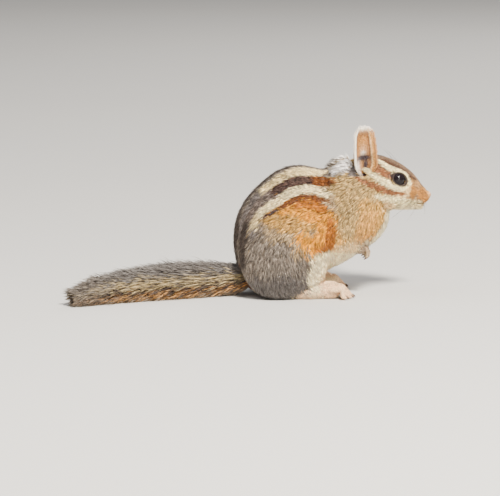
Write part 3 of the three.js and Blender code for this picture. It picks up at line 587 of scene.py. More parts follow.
# Stripes on the left side, from front to back: a kind, then (x, y, z, half width) places
STRIPES = [
    ("sable_and_shade", [
        (14, 0, 55, 0.4), (8, 0, 54.4, 1.2), (0, 0, 54.6, 1.6), (-8, 0, 53, 1.8), (-16, 0, 47.6, 1.9),
        (-22, 0, 41, 2), (-26, 0, 33, 2.6), (-27.5, 0, 24, 3),
    ]),
    ("pale", [
        (9.7, 4, 52.7, 1.4), (7, 4.8, 52.7, 2.2), (2.7, 6, 53, 2.7), (-1.6, 6.3, 53.1, 2.8),
        (-5.4, 6.8, 52.1, 2.6), (-9.2, 7.4, 50.2, 2.5), (-13, 7.2, 47.8, 2.4), (-17.4, 6.6, 44.4, 2.4),
    ]),
    ("ash", [
        (-17.4, 6.6, 44.4, 2.4), (-20, 6.8, 41.5, 2.3), (-22.5, 7.2, 37.8, 2.2), (-24.4, 7.2, 34.3, 2),
        (-25.7, 7.4, 30.5, 1.6), (-26.3, 7.7, 26.8, 0.9),
    ]),
    ("rust", [
        (12.5, 11.7, 48.9, 1), (10, 10.6, 49.2, 2.2), (7.2, 10.3, 49.4, 2.4), (4.2, 10.7, 49.5, 2.3),
    ]),
    ("dark", [
        (4.2, 10.7, 49.5, 2.1), (0.8, 11, 49.8, 2.3), (-2.5, 11.3, 49.6, 2.3), (-5.9, 11.5, 48.6, 2.2),
        (-9.6, 11.4, 46.7, 2.1), (-13.3, 10.9, 44.4, 2),
    ]),
    ("dusk", [
        (-13.3, 10.9, 44.4, 2), (-16.6, 10.4, 42, 1.9), (-19.5, 10, 39.2, 1.8), (-21.9, 9.8, 36.1, 1.8),
        (-23.8, 9.8, 32.8, 1.8),
    ]),
    # the dark stripe's end down the rump, partly painted shade along the haunch's rear edge
    ("sable_and_shade", [
        (-23.8, 9.8, 32.8, 1.8), (-24.9, 10.5, 28.9, 2.4), (-25.5, 12, 24.6, 2.9), (-25.8, 12.5, 20.2, 3.2),
        (-25.6, 12, 15.2, 3),
    ]),
    ("white", [
        (11.7, 14.5, 44.2, 0.7), (9.3, 14.3, 44.2, 1.6), (6.4, 13.9, 45.4, 1.8), (3.1, 13.9, 46.2, 1.9),
        (-0.3, 14, 46.5, 1.9), (-3.6, 14.3, 45.7, 1.9), (-7, 14.5, 44, 1.9), (-10.3, 14.3, 42, 1.9),
        (-13.6, 13.9, 39.9, 1.9), (-16.5, 13.7, 37.8, 1.9), (-19, 13.8, 35.5, 1.9),
    ]),
    ("pale", [(-19, 13.8, 35.5, 1.9), (-20.4, 14.7, 32.8, 1.9), (-21.4, 16, 29.7, 1.6)]),
    ("ash", [(-21.4, 16, 29.7, 1.6), (-21.9, 17.4, 26.2, 1)]),
    ("amber", [
        (-4.5, 17.3, 39.6, 0.8), (0.7, 17, 40.7, 1.5), (4.8, 16.9, 40, 1.8), (8.1, 17.1, 37.8, 1.6),
    ]),
    ("amber", [
        (10, 17.4, 33.5, 1), (11.1, 17.4, 30.7, 1.9), (11.1, 16.9, 26.9, 2.1), (10.4, 16.3, 23, 1.8),
        (8, 16.9, 20.9, 1.2), (4, 18.6, 21.5, 0.8),
    ]),
    ("rust", [
        (10.4, 15.7, 41.4, 0.6), (7.5, 15.5, 42.2, 1.1), (3.7, 15.7, 43, 1.3), (-0.1, 15.9, 43.3, 1.3),
        (-3.4, 16.1, 42.6, 1.3), (-6.7, 16.2, 40.9, 1.2), (-9.6, 16.2, 39, 1),
    ]),
    ("dark", [
        (-9.6, 16.3, 38.8, 0.5), (-12.5, 16.2, 37.3, 0.8), (-15.8, 15.7, 35.8, 0.8), (-18.6, 15, 34.2, 0.7),
    ]),
    ("brow", [
        (34.6, 4.6, 57, 0.8), (37.4, 5.4, 55.4, 1), (40.6, 6, 54, 1.2), (43.5, 6, 52.2, 1.2),
        (46.1, 5, 49.8, 0.9), (48, 3.6, 48, 0.6),
    ]),
    ("cream", [
        (31.9, 6, 57, 0.9), (34.7, 7.5, 55.2, 1.4), (37.6, 7.9, 53.5, 1.4), (40, 8.2, 52.7, 1.1),
        (42.6, 8.2, 51.5, 1.1), (44.3, 7.7, 49.6, 1.1), (45.4, 7.6, 47.4, 1.1),
    ]),
    ("brown", [
        (27.1, 5, 57.2, 1), (28.8, 7.2, 56, 1.4), (31.1, 9.5, 54, 1.5), (33.5, 10.2, 52.3, 1.5),
        (36.7, 9.9, 50.8, 1.2),
    ]),
    ("cream", [
        (25.5, 8.7, 54.4, 0.8), (27.2, 10.2, 53.2, 1.2), (30, 11.4, 50.9, 1.3), (32.5, 11.6, 49.2, 1.35),
        (35.5, 11.1, 47.3, 1.35), (38.5, 10.5, 45.9, 1.3), (41.6, 9.6, 45.2, 1.1), (44, 8.6, 45.7, 0.7),
    ]),
    ("brown", [
        (21, 13.2, 51.1, 0.5), (24.3, 13.6, 49.7, 0.9), (27.3, 13.2, 48.1, 1.3), (30.8, 12.4, 46.3, 1.3),
        (34.2, 11.7, 44.8, 1.3), (37.2, 11.1, 43.9, 1.2), (40.2, 10.4, 43.4, 0.8), (42.9, 9.4, 43.2, 0.4),
    ]),
    ("cream", [
        (30.3, 12.8, 43, 0.6), (32.5, 11.9, 42.2, 1.1), (36, 11, 41.1, 1.4), (39.5, 10.1, 39.9, 1.6),
        (43.1, 8.1, 38.7, 1.6), (47, 4.6, 37.7, 1.1),
    ]),
]


def near_line(points, line):
    """The distance to a stripe's line over its half width there."""
    best = np.full(len(points), 99.0)
    for a, b in zip(line, line[1:]):
        a, b = np.array(a, float), np.array(b, float)
        q = points - a[:3]
        step = b[:3] - a[:3]
        t = np.clip(q @ step / (step @ step), 0, 1)
        d = np.linalg.norm(q - t[:, None] * step, axis=1)
        best = np.minimum(best, d / mix(a[3], b[3], t))
    return best


def kinds_at(points):
    """The share of each kind of coat at each place."""
    folded = fold(points)
    shares = np.zeros((len(points), len(COAT_NAMES)))
    for kind, areas in PATCHES.items():
        for x, y, z, reach in areas:
            d = np.linalg.norm(folded - (x, y, z), axis=1) / reach
            shares[:, COAT_NAMES.index(kind)] += 1 / (0.02 + d**PATCH_EDGE)
    shares /= shares.sum(axis=1, keepdims=True)
    reaches = np.stack([near_line(folded, line) for _, line in STRIPES], axis=1)
    first = reaches.argmin(axis=1)
    cover = 1 - smooth_step(*STRIPE_EDGE, reaches.min(axis=1))
    kinds = np.array([COAT_NAMES.index(kind) for kind, _ in STRIPES])[first]
    shares *= (1 - cover)[:, None]
    shares[np.arange(len(points)), kinds] += cover
    return shares


def skin_colours(points):
    """The skin takes the tone of the coat over it, apart from the slit, the ears' pits, darkened as painted
    shade, and the mouth, darkened partly as painted shade.
    """
    shares = kinds_at(move_to(points, 0))
    bands = 0.55 * BANDS + 0.25 * TIPS + 0.2 * ROOTS_AND_GAP_SHADE
    colours = shares @ (bands * (1 - 0.5 * DARK_SHARES)[:, None])
    u, v, w = lid_place(points)
    near = 1 - smooth_step(4.6, 5.2, np.sqrt(u**2 + v**2 + w**2))
    colours = mix(colours, SKIN_TONES_AND_SHADE["slit"], (0.97 * in_slit(u, v) * near)[:, None])
    # painted shade in the hollows at the foot of the ears
    pit = ear_pits(points)
    colours = mix(colours, SKIN_TONES_AND_SHADE["ear pit shade"], (1 - smooth_step(0.1, 0.8, pit))[:, None])
    # the mouth's line darkened: partly the lips' own darker skin, partly painted shade in its groove
    mouth = 1 - smooth_step(0.3, 0.8, polyline_distance(points, MOUTH_LINE))
    return mix(colours, SKIN_TONES_AND_SHADE["mouth"], (0.8 * mouth)[:, None])


# Materials
def new_material(name, **settings):
    """A material and its node tree."""
    material = bpy.data.materials.new(name)
    material.use_nodes = True
    tree = material.node_tree
    for socket, value in settings.items():
        tree.nodes["Principled BSDF"].inputs[socket.replace("_", " ")].default_value = value
    return material, tree


def add_node(tree, kind, **settings):
    node = tree.nodes.new("ShaderNode" + kind)
    for socket, value in settings.items():
        node.inputs[socket.replace("_", " ")].default_value = value
    return node


def to_shader(tree, output, socket):
    tree.links.new(output, tree.nodes["Principled BSDF"].inputs[socket])


def grain(tree, scale, detail=3):
    """Noise fixed to the object's own shape."""
    noise = add_node(tree, "TexNoise", Scale=scale, Detail=detail)
    place = add_node(tree, "TexCoord")
    tree.links.new(place.outputs["Object"], noise.inputs["Vector"])
    return noise


def toned(tree, noise, low, high):
    """The painted tone, made a little darker and lighter by the noise."""
    tone = add_node(tree, "Attribute")
    tone.attribute_name = "tone"
    span = add_node(tree, "MapRange", From_Min=0.3, From_Max=0.7, To_Min=low, To_Max=high)
    scale = add_node(tree, "VectorMath")
    scale.operation = "SCALE"
    tree.links.new(noise.outputs["Fac"], span.inputs["Value"])
    tree.links.new(tone.outputs["Color"], scale.inputs[0])
    tree.links.new(span.outputs["Result"], scale.inputs["Scale"])
    to_shader(tree, scale.outputs["Vector"], "Base Color")


def two_toned(tree, scale, low, high):
    """A base colour that noise mixes from two linear colours."""
    ramp = add_node(tree, "ValToRGB")
    for element, colour in zip(ramp.color_ramp.elements, (low, high)):
        element.color = (*colour, 1)
    tree.links.new(grain(tree, scale).outputs["Fac"], ramp.inputs["Fac"])
    to_shader(tree, ramp.outputs["Color"], "Base Color")


def bump_from(tree, noise, depth):
    bump = add_node(tree, "Bump", Distance=depth * MM, Strength=0.6)
    tree.links.new(noise.outputs["Fac"], bump.inputs["Height"])
    to_shader(tree, bump.outputs["Normal"], "Normal")


def skin_material():
    material, tree = new_material("skin", Roughness=0.75, Specular_IOR_Level=0.25)
    toned(tree, grain(tree, 260), 0.85, 1.12)
    bump_from(tree, grain(tree, 1500, 4), 0.25)
    return material


def coat_material():
    material, tree = new_material(
        "coat", Roughness=0.62, Specular_IOR_Level=0.3, Sheen_Weight=0.12, Sheen_Roughness=0.5)
    toned(tree, grain(tree, 420), 0.84, 1.14)
    return material


def eye_material():
    material, tree = new_material("eye", Roughness=0.06, Specular_IOR_Level=0.22)
    two_toned(tree, 900, (0.004, 0.003, 0.004), (0.012, 0.008, 0.01))
    return material


def nose_material():
    material, tree = new_material("nose", Roughness=0.45, Specular_IOR_Level=0.4)
    noise = grain(tree, 1800)
    toned(tree, noise, 0.75, 1.15)
    bump_from(tree, noise, 0.12)
    return material


def horn_material(name, low, high):
    material, tree = new_material(name, Roughness=0.35, Specular_IOR_Level=0.4)
    two_toned(tree, 1200, linear(*low), linear(*high))
    return material


# Ears
def ear_frame(side):
    flip = np.array([1, side, 1])
    base = np.array(EAR["base"]) * flip
    up = np.array(EAR_TIP[side]) * flip - base
    height = np.linalg.norm(up)
    up = up / height
    face = np.array(EAR_FACE[side]) * flip
    face = unit(face - up * (face @ up))
    return base, up, face, np.cross(face, up), height


def ear_pit(points, side):
    """The hollow at the foot of the ear's cup."""
    base, up, face, across, _ = ear_frame(side)
    q = points - base - up * EAR_PIT["high"] - face * (EAR_PIT["wide"] + EAR["thick"])
    local = np.stack([q @ face, q @ across, q @ up], axis=1)
    return blob((0, 0, 0), (EAR_PIT["wide"], EAR_PIT["wide"], EAR_PIT["deep"]))[0](local)


def ear_pits(points):
    return np.minimum(ear_pit(points, LEFT), ear_pit(points, RIGHT))


def ear_outline(t):
    """The ear's width at a share of its height, over its full width."""
    if t < EAR_OUTLINE["full"]:
        return mix(EAR_OUTLINE["base"], 1, math.sin(t / EAR_OUTLINE["full"] * math.pi / 2))
    late = max(t - EAR_OUTLINE["shoulder"], 0) / (EAR_OUTLINE["end"] - EAR_OUTLINE["shoulder"])
    return math.sqrt(1 - late**2) * (1 - EAR_OUTLINE["slim"] * smooth_step(0.5, 0.95, t))


def ear_ring(side, t):
    """The middle of the cup at a share of the ear's height, its radius and half of its arc."""
    base, up, face, _, height = ear_frame(side)
    opening = math.radians(mix(EAR_CURL["base"], EAR_CURL["tip"], min(t / 0.9, 1)))
    radius = EAR["width"] / 2 * ear_outline(t) / math.sin(min(opening, math.pi / 2))
    return base + up * height * t + face * radius, radius, opening


def ear_shares():
    """The share of the ear's height at each ring of its mesh, closer together towards the tip."""
    rings = EAR_MESH["rings"]
    return [1 - (1 - i / (rings - 1)) ** 1.5 for i in range(rings)]


def ear_mesh(side):
    """A thin cup: its back, and its inside, which is thinner towards the middle."""
    _, _, face, across, _ = ear_frame(side)
    rings, arcs = EAR_MESH["rings"], EAR_MESH["arcs"]
    rows = []
    for t in ear_shares():
        centre, radius, opening = ear_ring(side, 0.02 + 0.965 * t)
        angles = np.linspace(-opening, opening, arcs + 1)
        thick = np.minimum(EAR["thick"], 0.5 * radius) * (0.75 + 0.25 * np.abs(angles / opening) ** 3)
        for radii, turn in ((radius, angles), ((radius - thick)[::-1], angles[::-1])):
            sideways, back = (radii * np.sin(turn))[:, None], (radii * np.cos(turn))[:, None]
            rows.append(centre + across * sideways - face * back)
    points = np.concatenate(rows)
    loop = 2 * (arcs + 1)
    quads = []
    for i in range(rings - 1):
        j = np.arange(loop)
        k = (j + 1) % loop
        quads.append(np.stack([i * loop + j, i * loop + k, (i + 1) * loop + k, (i + 1) * loop + j], axis=1))
    j = np.arange(arcs)
    last = (rings - 1) * loop
    quads.append(np.stack([loop - 1 - j, loop - 2 - j, j + 1, j], axis=1))
    quads.append(np.stack([last + j, last + j + 1, last + loop - 2 - j, last + loop - 1 - j], axis=1))
    return points, np.concatenate(quads)


# Colours across the inside of the ear, from its rear edge at -1 to its front edge at 1. The brown at -0.7
# and the dark line at 0.5, just inside the rims, are painted shade.
EAR_BANDS = [
    (-1, (255, 246, 230)), (-0.84, (252, 238, 218)), (-0.7, (148, 98, 56)), (-0.45, (190, 132, 64)),
    (0.1, (206, 148, 76)), (0.38, (184, 124, 62)), (0.5, (116, 72, 40)), (0.6, (252, 216, 160)),
    (0.72, (236, 180, 106)), (0.9, (206, 150, 84)), (1, (160, 112, 70)),
]


# Softer patches there: each one's place across and its reach, the same up the ear, strength and colour. The
# two darkest, low in the cup, are painted shade in its hollow.
EAR_PATCHES = [
    (-0.1, 0.55, 0.84, 0.05, 0.75, (146, 98, 58)), (-0.05, 0.4, 0.56, 0.07, 0.4, (232, 192, 156)),
    (-0.02, 0.2, 0.46, 0.045, 1.1, (252, 236, 220)), (-0.05, 0.5, 0.36, 0.06, 1.8, (50, 36, 44)),
    (0.14, 0.2, 0.2, 0.14, 1.3, (66, 50, 54)), (-0.5, 0.22, 0.2, 0.13, 1.1, (234, 222, 216)),
    (0.1, 0.95, 0.98, 0.06, 1.5, (255, 244, 226)),
]


def ear_tone(front, t, inner):
    """The ear's colour. front is 1 at its front edge and -1 at its rear, and t its share of the height."""
    if not inner:
        back = mix(linear(232, 220, 208), linear(140, 116, 98), smooth_step(-0.5, 0.05, front)[:, None])
        back = mix(back, linear(208, 152, 92), smooth_step(0.15, 0.5, front)[:, None])
        rim = np.maximum(smooth_step(0.86, 0.97, t), smooth_step(-0.7, -0.95, front))
        return mix(back, linear(255, 244, 230), rim[:, None])
    places, tones = zip(*EAR_BANDS)
    colour = interpolate(front, places, linear(*tones))
    for across, wide, up, high, strength, tone in EAR_PATCHES:
        share = strength * np.exp(-((front - across) / wide) ** 2 - ((t - up) / high) ** 2)
        colour = mix(colour, linear(*tone), np.minimum(share, 1)[:, None])
    return colour


def ear_colours(side):
    """The bare ear's colours, ring by ring: its back, then its inside."""
    front = np.linspace(-1, 1, EAR_MESH["arcs"] + 1) * side
    rows = []
    for share in ear_shares():
        t = np.full(len(front), share)
        rows += [ear_tone(front, t, False), ear_tone(front[::-1], t, True)]
    return 0.85 * np.concatenate(rows)


# Skin
# Grid cells along x, y and z: (start, cell) stops, and the end
SKIN_GRID = (
    [(-96, 0.9), (-28, 0.62), (27, 0.3), (57, 1)],
    [(-26, 0.6), (-11, 0.4), (11, 0.6), (26, 1)],
    [(-0.9, 0.34), (8, 0.6), (33, 0.36), (62, 1)],
)
NOSE_GRID = ([(51.0, 0.13), (56.0, 1)], [(-2.6, 0.13), (2.6, 1)], [(39.3, 0.13), (43.5, 1)])


def make_skin(material):
    points, quads = surface_nets(skin_level, [spaced(stops) for stops in SKIN_GRID])
    parts, faces, tones = [points], [quads], [skin_colours(points)]
    for side in (LEFT, RIGHT):
        ear_points, ear_quads = ear_mesh(side)
        faces.append(ear_quads + sum(len(p) for p in parts))
        parts.append(ear_points)
        tones.append(ear_colours(side))
    skin = add_mesh("skin", np.concatenate(parts), [np.concatenate(faces)], material)
    paint(skin, np.concatenate(tones))
    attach(skin, "root")
    nodes = ["head", "neck", "torso", "tail_1", "tail_2", "tail_3", "tail_4"]
    for part in ("ear", "arm", "forepaw", "thigh", "foot"):
        nodes += [part + "_left", part + "_right"]
    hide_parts(*nodes)
    print("skin", len(points), "points", len(quads), "quads")
    return points, quads


# Eyes, nose, claws and whiskers
def ball_points(centre, radius, around=40, rings=24):
    theta = np.linspace(0, math.pi, rings + 1)[1:-1]
    phi = np.linspace(0, 2 * math.pi, around, endpoint=False)
    grid = np.stack([
        np.outer(np.sin(theta), np.cos(phi)), np.outer(np.sin(theta), np.sin(phi)),
        np.outer(np.cos(theta), np.ones(around)),
    ], axis=-1).reshape(-1, 3)
    points = np.vstack([grid, [[0, 0, 1], [0, 0, -1]]]) * radius + centre
    quads, caps = [], []
    top, bottom = len(grid), len(grid) + 1
    for j in range(around):
        k = (j + 1) % around
        for i in range(rings - 2):
            quads.append((i * around + j, (i + 1) * around + j, (i + 1) * around + k, i * around + k))
        caps.append((top, j, k))
        caps.append((bottom, (rings - 2) * around + k, (rings - 2) * around + j))
    return points, [np.array(quads), np.array(caps)]


def make_eye(side, material):
    centre = np.array(EYE["centre"]) * [1, side, 1]
    name = "left" if side == LEFT else "right"
    points, faces = ball_points(centre, EYE["radius"])
    eye = add_mesh("eyeball_" + name, points, faces, material)
    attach(eye, "root")
    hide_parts("eye_" + name)


def nose_level(points):
    """The pad with its nostrils, the slits beside them and the groove between them."""
    folded = fold(points)
    x, y, z = points.T
    groove = np.hypot(y, x - 55.5) - 0.42 + 0.1 * (z - 40.6)
    d = -smooth_min(-blob(**NOSE)[0](points), blob(**NOSTRIL)[0](folded), 0.3)
    d = -smooth_min(-d, blob(**NOSTRIL_SLIT)[0](folded), 0.2)
    return -smooth_min(-d, groove, 0.3)


def nose_colours(points):
    folded = fold(points)
    # darker underneath and lighter on top as painted shade and highlight; the nostrils and the groove
    # between them are darkened as painted shade
    pink_with_painted_light = mix(linear(184, 124, 92), linear(212, 160, 124), smooth_step(40.4, 42.4, points[:, 2])[:, None])
    dark = smooth_step(0.9, 0.35, np.linalg.norm(folded - (54.5, 1.3, 41.1), axis=1))
    cleft_shade = smooth_step(0.35, 0.1, np.abs(points[:, 1])) * smooth_step(41.6, 41.0, points[:, 2])
    return mix(pink_with_painted_light, linear(70, 42, 38), np.maximum(dark, 0.7 * cleft_shade)[:, None])


def make_nose(material):
    points, quads = surface_nets(nose_level, [spaced(stops) for stops in NOSE_GRID])
    nose = add_mesh("nose_pad", points, [quads], material)
    paint(nose, nose_colours(points))
    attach(nose, "root")
    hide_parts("nose")


def tube(path, radii, sides=6):
    """A closed tube that ends in a point."""
    path = np.array(path, float)
    ahead = unit(np.vstack([path[1:], path[-1:]]) - np.vstack([path[:1], path[:-1]]))
    across = unit(np.cross(ahead, [0.12, 0.35, 0.93]))
    over = np.cross(across, ahead)
    angles = np.linspace(0, 2 * math.pi, sides, endpoint=False)
    rings = path[:-1, None] + np.array(radii)[:-1, None, None] * (
        np.cos(angles)[None, :, None] * across[:-1, None] + np.sin(angles)[None, :, None] * over[:-1, None])
    points = np.vstack([rings.reshape(-1, 3), path[-1:], path[:1]])
    count = len(path) - 1
    quads, caps = [], []
    for j in range(sides):
        k = (j + 1) % sides
        for i in range(count - 1):
            quads.append((i * sides + j, i * sides + k, (i + 1) * sides + k, (i + 1) * sides + j))
        caps.append(((count - 1) * sides + j, (count - 1) * sides + k, count * sides))
        caps.append((count * sides + 1, k, j))
    return points, np.array(quads).reshape(-1, 4), np.array(caps)


def join_parts(parts):
    """One list of points and faces from several."""
    points, quads, caps, start = [], [], [], 0
    for p, q, c in parts:
        points.append(p)
        quads.append(q + start)
        caps.append(c + start)
        start += len(p)
    return np.concatenate(points), [np.concatenate(quads), np.concatenate(caps)]


# Claws: points ahead of a toe's reach, shares of its spread and heights, then points past a finger's end
TOE_CLAW = [(-0.7, 1.03, 1.35), (0.2, 1.06, 1.4), (0.9, 1.08, 0.95), (1.35, 1.1, 0.3)]
TOE_CLAW_RADII = [0.5, 0.45, 0.3, 0]
FINGER_CLAW = [(0.35, -0.1), (-0.2, -0.55), (-0.9, -0.9)]
FINGER_CLAW_RADII = [0.4, 0.4, 0.28, 0]


def make_claws(material):
    parts = []
    for side in (LEFT, RIGHT):
        flip = np.array([1, side, 1])
        y = HIND_FOOT["y"]
        for _, tip, reach in HIND_TOES:
            path = [(reach + ahead, y + tip * spread, z) for ahead, spread, z in TOE_CLAW]
            parts.append(tube(np.array(path) * flip, TOE_CLAW_RADII))
        for i in range(PAW["fingers"]):
            *_, tip, (x, y_end, z) = finger_points(i)
            path = [tip, *((x + ahead, y_end, z + up) for ahead, up in FINGER_CLAW)]
            parts.append(tube(np.array(path) * flip, FINGER_CLAW_RADII))
    points, faces = join_parts(parts)
    claws = add_mesh("claws", points, faces, material)
    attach(claws, "root")


# Three rows of whiskers, from front to back, and two long hairs over each eye
WHISKERS = {"lengths": (13, 17, 19), "droop": (-0.25, 0, -0.12), "width": 0.085, "tip": 0.02}
BROW_HAIRS = {"length": 8, "out": (-0.2, 0.6, 0.9), "droop": (-3.5, 0, 0), "width": 0.07}


def make_whiskers(material):
    parts = []
    for side in (LEFT, RIGHT):
        for row in range(3):
            for i, length in enumerate(WHISKERS["lengths"]):
                root = np.array([[50.9 - 1.7 * i, 3.4 + 0.55 * i, 41.4 - 0.95 * row]])
                root = settle(bare_skin, root, passes=3)[0]
                length = length - 1.5 * row
                out = unit([0.25 - 0.5 * i, 1.0, 0.16 - 0.3 * row])
                t = np.linspace(0, 1, 7)[:, None]
                path = root - out * 0.3 + out * length * t + np.array(WHISKERS["droop"]) * length * t**2
                radii = mix(WHISKERS["width"], WHISKERS["tip"], t[:, 0])
                parts.append(tube(path * [1, side, 1], radii, sides=4))
        for i in range(2):
            root = settle(bare_skin, np.array([[42.4 - 2 * i, 6.4, 53.3 + 0.5 * i]]), passes=3)[0]
            t = np.linspace(0, 1, 6)[:, None]
            path = root + unit(BROW_HAIRS["out"]) * BROW_HAIRS["length"] * t
            path = path + np.array(BROW_HAIRS["droop"]) * t**2
            radii = mix(BROW_HAIRS["width"], WHISKERS["tip"], t[:, 0])
            parts.append(tube(path * [1, side, 1], radii, sides=4))
    points, faces = join_parts(parts)
    whiskers = add_mesh("whiskers", points, faces, material)
    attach(whiskers, "root")


# Coat
# The lie of the hair on the left side: a place (x, y, z), and the way the hair there points
LIE = [
    (54, 0, 43, -0.8, 0, 0.6), (48, 0, 48, -0.8, 0, 0.6), (42, 0, 54, -0.85, 0, 0.45),
    (33, 0, 58, -1, 0, 0.05), (25, 0, 57, -1, 0, -0.1), (50, 4, 41, -0.95, 0.3, 0),
    (46, 6, 44, -0.95, 0.3, 0.1), (41, 9, 44, -1, 0.2, -0.1), (40, 6, 53, -0.95, 0.1, 0.2),
    (35, 10, 51, -1, 0.1, 0), (35, 11, 42, -0.9, 0.1, -0.4), (44, 5, 37, -0.95, 0.1, -0.2),
    (51, 0, 35.5, -1, 0, -0.1), (40, 0, 34, -0.9, 0, -0.3), (28, 11, 46, -0.85, 0, -0.5),
    (20, 13, 48, -0.9, 0.1, -0.45), (18.6, 7, 55, -0.9, 0.2, 0.3), (12, 0, 54, -1, 0, -0.05),
    (0, 0, 54, -1, 0, 0), (-10, 0, 51, -0.9, 0, -0.4), (-20, 0, 44, -0.6, 0, -0.8),
    (-27, 0, 30, -0.1, 0, -1), (-27, 0, 14, -0.3, 0, -0.95), (-23, 0, 8, -0.95, 0, -0.3),
    (5, 13, 47, -1, 0.1, -0.15), (-10, 15, 42, -0.85, 0, -0.55), (-20, 15, 32, -0.5, 0, -0.85),
    (5, 18, 36, -0.95, 0, -0.3), (-6, 19, 34, -0.95, 0, -0.35), (15, 16, 34, -0.75, 0, -0.65),
    (22, 15, 40, -0.6, 0, -0.8), (24, 13, 32, -0.4, 0, -0.9), (34, 0, 36, -0.15, 0, -1),
    (30, 7, 30, -0.3, 0, -0.95), (33, 6, 40, -0.3, 0, -0.95), (20, 0, 18, -0.5, 0, -0.85),
    (12, 6, 14, -0.3, 0.2, -0.9), (3, 10, 8, 0, 0.1, -1), (-10, 22, 28, -0.3, 0, -0.95),
    (-12, 22, 15, 0.05, 0, -1), (-2, 22, 14, 0.3, 0, -0.95), (5, 20, 12, 0.5, 0, -0.85),
    (-20, 18, 15, -0.3, 0, -0.95), (-8, 18, 3, 0.3, 0, -0.95), (18, 15, 27, -0.4, 0, -0.9),
    (15, 14, 21, 0.3, -0.2, -0.9), (20, 10, 20, 0.85, -0.5, -0.2), (25, 6, 20.5, 0.9, -0.3, -0.3),
    (28, 5, 18, 0.2, 0, -1), (0, 13, 5, 1, 0, -0.1), (10, 13, 7, 1, 0, -0.1), (18, 13, 4, 0.95, 0, -0.35),
]


def comb(points, normals, spread=6.0):
    """The way the hair points at each place, in the plane of the skin."""
    folded = fold(points)
    lie = np.array(LIE, float)
    places, ways = lie[:, :3], unit(lie[:, 3:])
    d2 = ((folded[:, None] - places[None]) ** 2).sum(axis=2)
    weights = np.exp(-d2 / (2 * spread**2)) + 1e-3 / (1 + d2)
    way = weights @ ways
    way[:, 1] *= np.where(points[:, 1] < 0, -1, 1)
    way -= normals * (way * normals).sum(axis=1, keepdims=True)
    return unit(way)


def scatter(points, quads, weight):
    """Roots spread over the skin, each about the same area apart, weight per square millimetre."""
    a, b, c, d = (points[quads[:, i]] for i in range(4))
    area = 0.5 * np.linalg.norm(np.cross(c - a, d - b), axis=1)
    middle = (a + b + c + d) / 4
    share = area * weight(middle)
    run = np.cumsum(share)
    count = int(run[-1])
    stops = (np.arange(count) + random.random(count)) * run[-1] / count
    face = np.minimum(np.searchsorted(run, stops), len(quads) - 1)
    u, v = random.random((2, count, 1))
    low = mix(a[face], b[face], u)
    high = mix(d[face], c[face], u)
    return mix(low, high, v)


TAPER = (0.75, 1, 0.8, 0.6)  # a tuft's width at each ring, over its widest


def tufts(rings, widths, normals):
    """Closed three-sided tapering tufts. rings is a list of (n, 3) points from root to tip."""
    count = len(widths)
    ahead = unit(rings[-1] - rings[0])
    across = unit(np.cross(ahead, normals))
    over = np.cross(across, ahead)
    over *= np.sign((over * normals).sum(axis=1, keepdims=True) + 1e-9)
    hoops = len(rings) - 1
    points = np.empty((count, 3 * hoops + 1, 3))
    for i in range(hoops):
        half = (widths * TAPER[i] / 2)[:, None]
        points[:, 3 * i] = rings[i] + across * half
        points[:, 3 * i + 1] = rings[i] + over * half * 0.9
        points[:, 3 * i + 2] = rings[i] - across * half
    points[:, -1] = rings[-1]
    start = (np.arange(count) * (3 * hoops + 1))[:, None]
    quads = []
    for i in range(hoops - 1):
        for j in range(3):
            k = (j + 1) % 3
            quads.append(start + np.array([3 * i + j, 3 * i + k, 3 * i + 3 + k, 3 * i + 3 + j]))
    tip = 3 * hoops
    ends = [start + np.array([tip - 3 + j, tip - 3 + (j + 1) % 3, tip]) for j in range(3)]
    ends.append(start + np.array([0, 2, 1]))
    return points, quads, ends


BAKE = {"span": (0.002, 0.995), "size": 0.003}  # where patches of the UV map start, and a patch's size


def make_coat(name, rings, widths, normals, tones, unwrapped, material):
    """One piece of coat. tones holds a colour for each ring of each tuft."""
    points, quads, ends = tufts(rings, widths, normals)
    count, per_tuft = points.shape[:2]
    flat = points.reshape(-1, 3)
    flat[:, 2] = np.maximum(flat[:, 2], 0.03)
    piece = add_mesh(name, flat, [np.concatenate(quads), np.concatenate(ends)], material)
    colours = np.empty((count, per_tuft, 3))
    for i in range(len(rings) - 1):
        colours[:, 3 * i:3 * i + 3] = tones[i][:, None]
    colours[:, -1] = tones[-1]
    paint(piece, colours.reshape(-1, 3))
    bake_map(piece, unwrapped, len(rings) - 1)
    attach(piece, "root")
    print(name, count, "tufts", count * (6 * (len(rings) - 2) + 4), "triangles")


def bake_map(piece, unwrapped, hoops):
    """A small patch for each tuft at its root's place on the unwrapped skin."""
    local = np.empty((3 * hoops + 1, 2))
    for i in range(hoops):
        local[3 * i:3 * i + 3, 0] = (0, 0.5, 1)
        local[3 * i:3 * i + 3, 1] = i / hoops
    local[-1] = (0.5, 1)
    spots = np.clip(unwrapped, *BAKE["span"])[:, None] + BAKE["size"] * local[None]
    layer = piece.data.uv_layers.new(name="OFBake")
    loops = np.empty(len(piece.data.loops), np.int32)
    piece.data.loops.foreach_get("vertex_index", loops)
    layer.data.foreach_set("uv", spots.reshape(-1, 2)[loops].astype(np.float32).ravel())


# A line through the body, from rump to nose: x and z
SPINE = [(-20, 8), (-16, 20), (-8, 30), (5, 36), (18, 40), (27, 45), (38, 46), (56, 40)]


